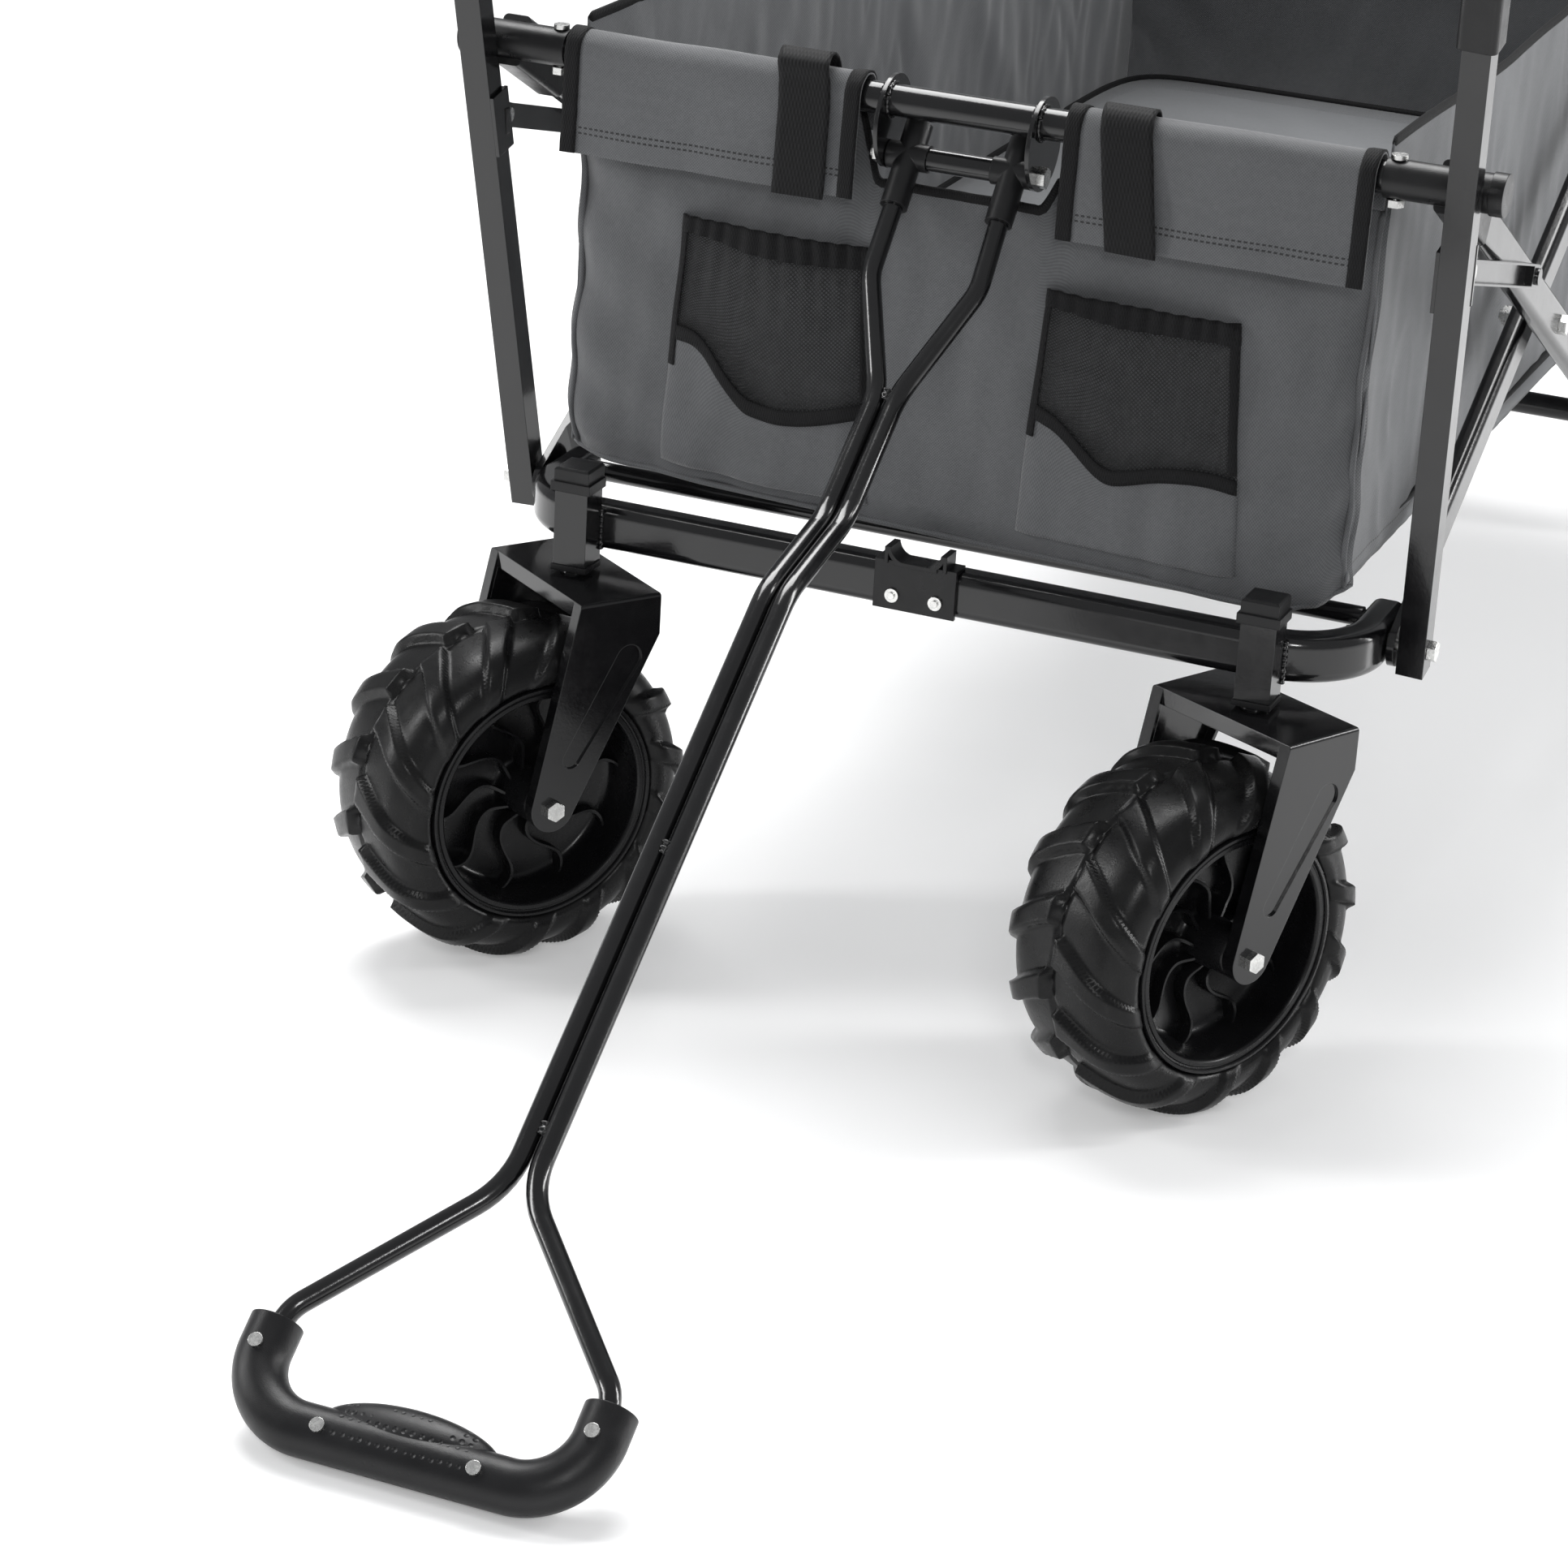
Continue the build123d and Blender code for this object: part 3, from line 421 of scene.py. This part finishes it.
HUB_SIDE = [(46.0, 87.0), (51.0, 87.2), (52.4, 86.4), (52.6, 84.6), (51.6, 83.8), (50.4, 83.6), (50.2, 82.6),
            (51.0, 81.8), (51.0, 79.0), (50.0, 77.9), (48.0, 77.4), (34, 75.6), (22, 74.2), (17.5, 72.4),
            (15.0, 69.0), (15.0, 23.0), (16.5, 20.0), (20, 18.2), (52.5, 16.6), (54.0, 15.6), (54.0, 4.2)]
RIBS = 10
RIB_FOOT = 14.0  # from the wheel's middle plane, just inside the hub's disc
RIB_STATIONS = 22
RIB_HALF_WIDTH = 1.5


def build_hub(name, node, body, joint):
    j = JOINTS[joint]
    centre, axis = Vector(j["pos_m"]) * 1000, Vector(j["axis"])
    rot = Matrix.Rotation(math.atan2(axis.y, axis.x), 3, "Z")

    def put(x, r, a):
        return (rot @ Vector((x, -r * math.cos(a), r * math.sin(a))) + centre) / 1000

    line = HUB_SIDE + [(-x, r) for x, r in reversed(HUB_SIDE)]
    steps = 120
    verts, faces = [], []
    for i in range(steps):
        a = 2 * math.pi * i / steps
        verts += [put(x, r, a) for x, r in line]
    m = len(line)
    for i in range(steps):
        k = (i + 1) % steps
        for s in range(m):
            t = (s + 1) % m
            faces.append((i * m + s, i * m + t, k * m + t, k * m + s))
    for side in (-1, 1):
        for n in range(RIBS):
            base = len(verts)
            for i in range(RIB_STATIONS):
                t = i / (RIB_STATIONS - 1)
                r = 15 + t * 60.5
                bend = 0.26 * math.sin(2 * math.pi * t * 0.92) * (1 - 0.35 * t)
                a = 2 * math.pi * n / RIBS + side * bend
                top = 25 + 4 * (1 - smoothstep(0, 0.25, t)) + 2.5 * smoothstep(0.75, 1.0, t)
                for w in (-RIB_HALF_WIDTH, RIB_HALF_WIDTH):
                    for x in (RIB_FOOT, top - 0.7, top):
                        narrow = 0.72 if x == top else 1.0
                        verts.append(put(side * x, r, a + w * narrow / max(r, 20)))
            for i in range(RIB_STATIONS - 1):
                p, q = base + i * 6, base + (i + 1) * 6
                for e, f in ((0, 1), (1, 2), (2, 5), (5, 4), (4, 3)):
                    faces.append((p + e, p + f, q + f, q + e))
    o = make_mesh(name, verts, faces, hub_plastic, body, smooth=True)
    e = o.modifiers.new("edges", "EDGE_SPLIT")
    e.split_angle = math.radians(38)
    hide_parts(node)


for tag, where in (("fl", "front_left"), ("fr", "front_right"), ("rl", "rear_left"), ("rr", "rear_right")):
    build_tyre("tyre_lugged_" + tag, "tyre_" + tag, "wheel_" + where, "roll_" + where)
    build_hub("hub_ribbed_" + tag, "hub_" + tag, "wheel_" + where, "roll_" + where)

# ------------------------------------------------------------------ bag
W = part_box("bag_front_wall")[1].x
Z0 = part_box("bag_floor")[0].z
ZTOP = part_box("bag_front_wall")[1].z
RY, RZ = 0.031, 0.637
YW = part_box("bag_front_wall")[0].y + 0.002
Y_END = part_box("bag_rear_wall")[1].y - 0.002
RIN = 0.0126
SIDE_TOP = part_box("bag_side_left")[1].z
MIDDLE_Y = 0.661  # the middle pivots, about which the rear mirrors the front


def wall_depth(x, z, seed):
    """How far the end wall's cloth stands outwards of its plane: a belly, corner radius and creases."""
    h = (z - Z0) / (ZTOP - Z0)
    swell = 0.78 + 0.22 * math.cos(math.pi * (h - 0.2))
    belly = 0.019 * (1 - abs(x / W) ** 7) * (1 - smoothstep(0.76, 1.0, h)) * swell
    under = -0.006 * (1 - smoothstep(0.0, 0.07, h))
    fold = 0.0045 * ripple(x, 0, z, 9, seed) + 0.0024 * ripple(x * 2.2, 0, z * 0.8, 22, seed)
    slant = 90 * (z - 0.8 * abs(x)) + 4 * ripple(x, 0, z, 5, seed)
    drag = 0.0030 * math.sin(slant) * smoothstep(0.17, 0.29, abs(x))
    return belly + under + (fold + drag) * (1 - smoothstep(0.9, 1.0, h))


def wall_top(x, notch):
    if not notch:
        return ZTOP + 0.002
    return ZTOP + 0.002 - 0.060 * (1 - smoothstep(0.058, 0.088, abs(x)))


def end_wall(name, node, body, front):
    sign = 1 if front else -1
    y0 = YW if front else Y_END
    def fn(u, v):
        x = (2 * u - 1) * W
        top = wall_top(x, front)
        z = Z0 + v * (top - Z0)
        corner = smoothstep(0.90, 1.0, abs(x / W))
        y = y0 - sign * (wall_depth(x, z, 3.0 if front else 8.0) - 0.013 * corner ** 2 * 0.6)
        low = 0.006 + 0.005 * math.sin(7 * x + 0.5) + 0.007 * math.exp(-((x - 0.24) / 0.07) ** 2)
        sag = -low * (1 - smoothstep(0.93, 1.0, abs(x / W))) * (1 - v) ** 3
        return (x * (1 + 0.004 * math.sin(3 * math.pi * v)), y, z + sag)
    o = grid(name, 150, 84, fn, cloth, body, 0.0012)
    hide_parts(node)
    return fn


front_fn = end_wall("bag_front_cloth", "bag_front_wall", "bag_front", True)
rear_fn = end_wall("bag_rear_cloth", "bag_rear_wall", "bag_rear", False)


def along(fn, uv_points, n, off=(0, 0, 0)):
    return [p + Vector(off) for p in catmull([fn(u, v) for u, v in uv_points], n)]


for tag, fn, body, sign in (("front", front_fn, "bag_front", -1), ("rear", rear_fn, "bag_rear", 1)):
    for side in (0.008, 0.992):
        pts = along(fn, [(side, v / 10) for v in range(0, 10)], 60, (0, sign * 0.0022, 0))
        tube(f"corner_piping_{tag}_{'l' if side < 0.5 else 'r'}", pts, 0.0021, cloth, body, 8)
    pts = along(fn, [(u / 16, 0.0) for u in range(17)], 90, (0, sign * 0.001, 0))
    tube(f"bottom_piping_{tag}", pts, 0.0022, cloth, body, 8)
notch_pts = along(front_fn, [(0.5 + u * 0.15 / 10, 1.0) for u in range(-10, 11)], 70)
tube("notch_binding", notch_pts, 0.0038, binding, "bag_front", 10, flat=0.55)


def shorten(o):
    """Gives a soft piece its own copy of its mesh data."""
    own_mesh(o)


def side_cloth(side, name, node):
    y0, y1 = YW + 0.006, Y_END - 0.006
    x_out = side * (W - 0.002)
    def fn(u, v):
        y = y0 + u * (y1 - y0)
        top = SIDE_TOP - 0.008 * math.sin(2 * math.pi * u) ** 2
        z = Z0 + 0.004 + v * (top - Z0 - 0.004)
        ends = smoothstep(0, 0.05, u) * (1 - smoothstep(0.95, 1, u))
        fold = 0.0060 * ripple(0, y * 1.6, z * 0.7, 5, 2.0 + side) + 0.0030 * ripple(0, y * 3.0, z, 13, 5.0)
        crease = 0.0030 * abs(math.sin(16 * y + 6 * z + 3 * ripple(0, y, z, 3, 1.0))) ** 6
        droop = 0.007 * math.sin(math.pi * v) * math.sin(math.pi * u)
        inwards = abs(fold + crease) * ends * (0.35 + 0.65 * math.sin(math.pi * v)) + 0.25 * droop
        return (x_out - side * inwards, y, z)
    o = grid(name, 300, 66, fn, cloth_in, "bag_front", 0.0012)
    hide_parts(node)
    shorten(o)
    pts = along(fn, [(u / 24, 1.0) for u in range(25)], 220)
    t = tube(name + "_top_binding", pts, 0.0042, binding, "bag_front", 8, flat=0.4)
    shorten(t)


side_cloth(-1, "bag_left_cloth", "bag_side_left")
side_cloth(1, "bag_right_cloth", "bag_side_right")

# floor board: a padded pad with a bound edge
FL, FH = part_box("bag_floor")


def floor_outline(t, inset, z):
    """A point on the board's rounded outline, t in 0..1."""
    hx, hy = (FH.x - FL.x) / 2 - inset, (FH.y - FL.y) / 2 - inset
    a = 2 * math.pi * t
    c, s = math.cos(a), math.sin(a)
    k = (abs(c) ** 14 + abs(s) ** 14) ** (-1 / 14)
    return Vector((hx * c * k, (FL.y + FH.y) / 2 + hy * s * k, z))


def build_floor():
    rings = [(0.004, FL.z + 0.001), (0.0015, FL.z + 0.007), (0.0015, FH.z - 0.007), (0.004, FH.z - 0.0015)]
    steps = 240
    verts, faces, uvs = [], [], []
    for inset, z in rings:
        for i in range(steps):
            p = floor_outline(i / steps, inset, z)
            verts.append(p)
            uvs.append((p.x, p.y + z))
    for k in range(len(rings) - 1):
        for i in range(steps):
            j = (i + 1) % steps
            faces.append((k * steps + i, k * steps + j, (k + 1) * steps + j, (k + 1) * steps + i))
    inner = [0.94, 0.86, 0.72, 0.55, 0.36, 0.18]
    for top in (True, False):
        prev = (len(rings) - 1) * steps if top else 0
        for f in inner:
            base = len(verts)
            for i in range(steps):
                p = floor_outline(i / steps, 0.004, 0)
                cx, cy = 0.0, (FL.y + FH.y) / 2
                x, y = cx + (p.x - cx) * f, cy + (p.y - cy) * f
                dz = 0.0012 * ripple(x, y, 0, 6, 4.0) - 0.0006
                z = FH.z - 0.0008 + dz if top else FL.z + 0.0006
                verts.append(Vector((x, y, z)))
                uvs.append((x, y))
            for i in range(steps):
                j = (i + 1) % steps
                quad = (prev + i, prev + j, base + j, base + i)
                faces.append(quad if top else quad[::-1])
            prev = base
        cap = tuple(prev + i for i in range(steps))
        faces.append(cap if top else cap[::-1])
    o = make_mesh("bag_floor_board", verts, faces, floor_cloth, "bag_front", uvs)
    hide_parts("bag_floor")
    shorten(o)
    pts = [floor_outline(i / 300, 0.004, FH.z - 0.0015) for i in range(301)]
    t = tube("floor_binding", pts, 0.0040, binding, "bag_front", 8, flat=0.8)
    shorten(t)


build_floor()

# flaps: the end wall's cloth comes up behind the tube, over it and down in front
FLB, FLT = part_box("rail_flaps")


def flap_point(x, s, r, seed, bottom, tilt=0.0):
    """s runs in metres from the flap's lower edge up the front, over the tube and down behind."""
    front = RZ - bottom
    if s < front:
        z = bottom + s
        loose = 1 - s / front
        wave = 0.0022 * math.sin(38 * x + seed) * loose + 0.0018 * ripple(x, 0, z, 16, seed) * loose
        return Vector((x, RY - r - abs(wave) - 0.0015 * (1 - s / front), z + tilt))
    a = (s - front) / r
    if a < math.pi:
        return Vector((x, RY - r * math.cos(a), RZ + r * math.sin(a)))
    return Vector((x, RY + r, RZ - (s - front - math.pi * r)))


def build_flap(name, x0, x1, seed, bottom):
    r = RIN + 0.0012
    total = (RZ - bottom) + math.pi * r + 0.030
    def fn(u, v):
        x = x0 + u * (x1 - x0)
        puff = 0.0010 * (1 + ripple(x, v, 0, 18, seed))
        return flap_point(x, v * total, r + puff, seed, bottom)
    o = grid(name, 90, 60, fn, cloth_flap, "bag_front", 0.0014)
    for tag, u in (("a", 0.0), ("b", 1.0)):
        w = 0.011 / (x1 - x0)
        def edge(p, q, u=u):
            uu = u + (w * p if u == 0.0 else -w * p)
            base = fn(uu, q)
            ahead = fn(uu, min(q + 0.01, 1)) - fn(uu, max(q - 0.01, 0))
            normal = Vector((1, 0, 0)).cross(ahead).normalized()
            return base + normal * 0.0015 * (1 if p < 0.9 else 0.6)
        grid(f"{name}_binding_{tag}", 4, 60, edge, binding, "bag_front", 0.0016)
    return o


left_flap = build_flap("flap_left", FLB.x, -0.070, 1.0, 0.5695)
build_flap("flap_right", 0.076, FLT.x, 4.0, 0.5655)
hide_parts("rail_flaps")


def rear_flap():
    r = RIN + 0.0012
    total = 0.085 + math.pi * r + 0.030
    def fn(u, v):
        p = flap_point(FLB.x + u * (FLT.x - FLB.x), v * total, r, 6.0, RZ - 0.085)
        return Vector((p.x, 2 * MIDDLE_Y - p.y, p.z))
    o = grid("flap_rear", 160, 60, fn, cloth_flap, "bag_rear", 0.0014)


rear_flap()


def strap(name, x0, width, bottom, seed, loop):
    r = RIN + 0.0052
    total = (RZ - bottom) + math.pi * r * 0.9
    def fn(u, v):
        s = v * total
        lift = loop * smoothstep(0.62, 0.80, v) * (1 - smoothstep(0.88, 1.0, v))
        p = flap_point(x0 + u * width, s, r + lift, seed, bottom)
        p.x += 0.006 * math.sin(2.4 * v + seed) - 0.004 * v
        p.y -= 0.0022 * math.sin(math.pi * min(v * 1.7, 1)) ** 2
        return p
    return grid(name, 10, 70, fn, webbing, "bag_front", 0.0018)


s1 = strap("strap_left", -0.131, 0.037, 0.566, 0.5, 0.009)
strap("strap_right", 0.106, 0.036, 0.563, 2.0, 0.002)
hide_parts("flap_straps")


# ------------------------------------------------------------------ pockets
def pocket(name, x0, x1, z_top, z_low, seed, tilt):
    """Patch of grey cloth with a gathered net panel and an elastic edge above it."""
    def place(u, v, out):
        flare = 0.010 * (1 - v) * (2 * u - 1)
        x = x0 + u * (x1 - x0) + flare
        z = z_low + v * (z_top + tilt * (2 * u - 1) - z_low)
        uu = (x / W + 1) / 2
        vv = (z - Z0) / (wall_top(x, True) - Z0)
        p = Vector(front_fn(uu, vv))
        return Vector((p.x, p.y - 0.0012 - out, p.z))
    def belly(u, v):
        side = math.sin(math.pi * u) ** 0.55 if 0 < u < 1 else 0
        return side * (0.005 + 0.008 * smoothstep(0.0, 0.8, v) * (1 - 0.45 * smoothstep(0.8, 1.0, v)))
    def gather(u, v):
        pleats = 11 * u + 0.7 * ripple(u, v, 0, 3, seed)
        return 0.0013 * math.sin(2 * math.pi * pleats) * smoothstep(0.45, 1.0, v)
    def border(u):
        return 0.50 - 0.17 * smoothstep(0.10, 0.45, u) + 0.04 * math.sin(6 * u + seed)
    def low(u, v):
        t = v * border(u)
        return place(u, t, belly(u, t) + 0.0016 * ripple(u, t, 0, 5, seed))
    def high(u, v):
        b = border(u)
        t = b + v * (1 - b)
        return place(u, t, belly(u, t) + gather(u, t))
    a = grid(name + "_patch", 60, 34, low, cloth, "bag_front", 0.0012)
    b = grid(name + "_net", 120, 44, high, net, "bag_front", 0.0)
    c = grid(name + "_band", 60, 4, lambda u, v: high(u, 0.88 + 0.14 * v) + Vector((0, -0.0014, 0)),
             binding, "bag_front", 0.0022)
    def seam(u, v):
        t = max(border(u) + (v - 0.5) * 0.06, 0)
        return place(u, t, belly(u, t) + 0.0012)
    grid(name + "_seam", 60, 3, seam, binding, "bag_front", 0.0012)
    for tag, u in (("l", 0.0), ("r", 1.0)):
        def edge(p, q, u=u):
            uu = u + (0.035 * p if u == 0 else -0.035 * p)
            return place(uu, 0.40 + 0.60 * q, belly(uu, 0.40 + 0.6 * q) + 0.0011)
        grid(f"{name}_edge_{tag}", 3, 30, edge, binding, "bag_front", 0.0014)
    return a


p1 = pocket("pocket_left", -0.199, -0.060, 0.533, 0.357, 1.3, -0.001)
p2 = pocket("pocket_right", 0.070, 0.206, 0.525, 0.362, 2.9, -0.001)
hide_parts("mesh_pockets")

# ------------------------------------------------------------------ welds
def arc(c, r, n):
    """A full circle about X, as n points."""
    out = []
    for i in range(n):
        a = 2 * math.pi * i / (n - 1)
        out.append(Vector(c) + Vector((0, math.cos(a), math.sin(a))) * r)
    return out


SOCKET_X = 0.252
EAR_X = 0.054
for side in (-1, 1):
    for e in (-1, 1):
        x = side * SOCKET_X + e * 0.0130
        z0, z1 = 0.2905, 0.3215
        line = [Vector((x, -0.0008, z0 + (z1 - z0) * i / 30)) for i in range(31)]
        tube(f"socket_weld_{side + 1}_{e + 1}", line, 0.0020, paint, "front_frame", 8, 0.35)
        line = [Vector((x, 2 * MIDDLE_Y + 0.0008, z0 + (z1 - z0) * i / 30)) for i in range(31)]
        tube(f"socket_weld_rear_{side + 1}_{e + 1}", line, 0.0020, paint, "rear_frame", 8,
             0.35)
    for e in (-1, 1):
        ring = arc((side * EAR_X + e * 0.0022, RY, RZ), 0.0117, 60)
        tube(f"ear_weld_{side + 1}_{e + 1}", ring, 0.0014, paint, "front_top", 8, 0.35)

# weld beads between the two handle rods, at distances along the handle from its pivot
PIVOT_Z = 0.600
PIVOT = Vector((0, RY, PIVOT_Z))
GRIP_REST = 0.0168  # height of the grip's axis when it lies on the ground
GRIP_REACH = 0.977
H_ANG = math.asin((PIVOT_Z - GRIP_REST) / GRIP_REACH)
H_DIR = Vector((0, -math.cos(H_ANG), -math.sin(H_ANG)))
H_UP = Vector((0, -math.sin(H_ANG), math.cos(H_ANG)))
for k, (s, dip) in enumerate(((0.170, 0.038), (0.556, 0.0), (0.758, 0.0))):
    mid = PIVOT + H_DIR * s - H_UP * dip
    line = [mid + H_DIR * (0.009 * (i / 14 - 0.5)) + H_UP * 0.0022 for i in range(15)]
    tube(f"rod_weld_{k}", line, 0.0034, paint, "handle", 10, 0.3)

# ------------------------------------------------------------------ materials on the CAD nodes that show
finish = {"black_tube": paint, "black_plastic": plastic, "zinc": zinc, "tyre": rubber, "hub": hub_plastic,
          "grey_fabric": cloth, "black_webbing": webbing, "mesh": net}
for sub in frame["record"]["subparts"]:
    node, slot_name = sub["node"], sub["material_slot"]
    o = NODES[node]
    mat = grip_mat if node.startswith("grip_") and node.endswith("shell") else finish[slot_name]
    for i in range(len(o.material_slots)):
        o.material_slots[i].material = mat
    if not o.material_slots:
        o.data.materials.append(mat)

# ------------------------------------------------------------------ floor, lights, camera
def simple_plane(name, size, z):
    me = bpy.data.meshes.new(name)
    corners = [(-size, -size, z), (size, -size, z), (size, size, z), (-size, size, z)]
    me.from_pydata(corners, [], [(0, 1, 2, 3)])
    o = bpy.data.objects.new(name, me)
    bpy.context.scene.collection.objects.link(o)
    return o


ground = simple_plane("studio_floor", 40.0, -0.0006)
gm, gnt, gb = new_material("studio_white", (0.90, 0.90, 0.90), 0.22)
whites = ramp(gnt, grain(gnt, 1.2), [(0.3, (0.885,) * 3), (0.7, (0.905,) * 3)])
gnt.links.new(whites, gb.inputs["Base Color"])
gb.inputs["Specular IOR Level"].default_value = 0.35
gb.inputs["Emission Color"].default_value = (1.0, 1.0, 1.0, 1)
gb.inputs["Emission Strength"].default_value = 0.22
ground.data.materials.append(gm)


def area_light(name, pos, target, size, power, size_y=None):
    d = bpy.data.lights.new(name, "AREA")
    d.energy, d.size, d.shape, d.size_y = power, size, "RECTANGLE", size_y or size
    o = bpy.data.objects.new(name, d)
    bpy.context.scene.collection.objects.link(o)
    o.location = pos
    o.rotation_euler = (Vector(target) - Vector(pos)).to_track_quat("-Z", "Y").to_euler()
    return o


area_light("top_box", (-0.9, 1.3, 3.4), (0.0, 0.1, 0.2), 2.6, 165, 2.0)
area_light("left_box", (-3.0, -1.4, 1.7), (0.0, 0.1, 0.35), 0.5, 55, 2.4)
area_light("right_rim", (3.0, 1.7, 1.6), (0.1, 0.2, 0.3), 0.45, 70, 2.6)
area_light("front_fill", (2.0, -4.4, 3.0), (0.0, 0.0, 0.3), 0.8, 60, 0.8)

world = bpy.data.worlds.new("studio")
bpy.context.scene.world = world
world.use_nodes = True
bg = world.node_tree.nodes["Background"]
bg.inputs[0].default_value = (0.97, 0.98, 1.0, 1)
bg.inputs[1].default_value = 0.40
bpy.context.scene.view_settings.view_transform = "Standard"

CAMERA_PLACE = (1.0170, -2.7907, 1.3941)
CAMERA_AZIMUTH, CAMERA_ELEVATION, CAMERA_ROLL = 21.62, 22.64, 3.40
CAMERA_LENS = 105.3
cam_data = bpy.data.cameras.new("camera")
cam = bpy.data.objects.new("camera", cam_data)
bpy.context.scene.collection.objects.link(cam)
bpy.context.scene.camera = cam
az, el, roll = (math.radians(v) for v in (CAMERA_AZIMUTH, CAMERA_ELEVATION, CAMERA_ROLL))
back = Vector((math.sin(az) * math.cos(el), -math.cos(az) * math.cos(el), math.sin(el)))
right = Vector((math.cos(az), math.sin(az), 0))
up = back.cross(right)
r_ = right * math.cos(roll) + up * math.sin(roll)
u_ = up * math.cos(roll) - right * math.sin(roll)
m = Matrix((r_, u_, back)).transposed().to_4x4()
m.translation = Vector(CAMERA_PLACE)
cam.matrix_world = m
cam_data.sensor_width = 36
cam_data.lens = CAMERA_LENS
cam_data.clip_start, cam_data.clip_end = 0.05, 200

bpy.context.view_layer.update()
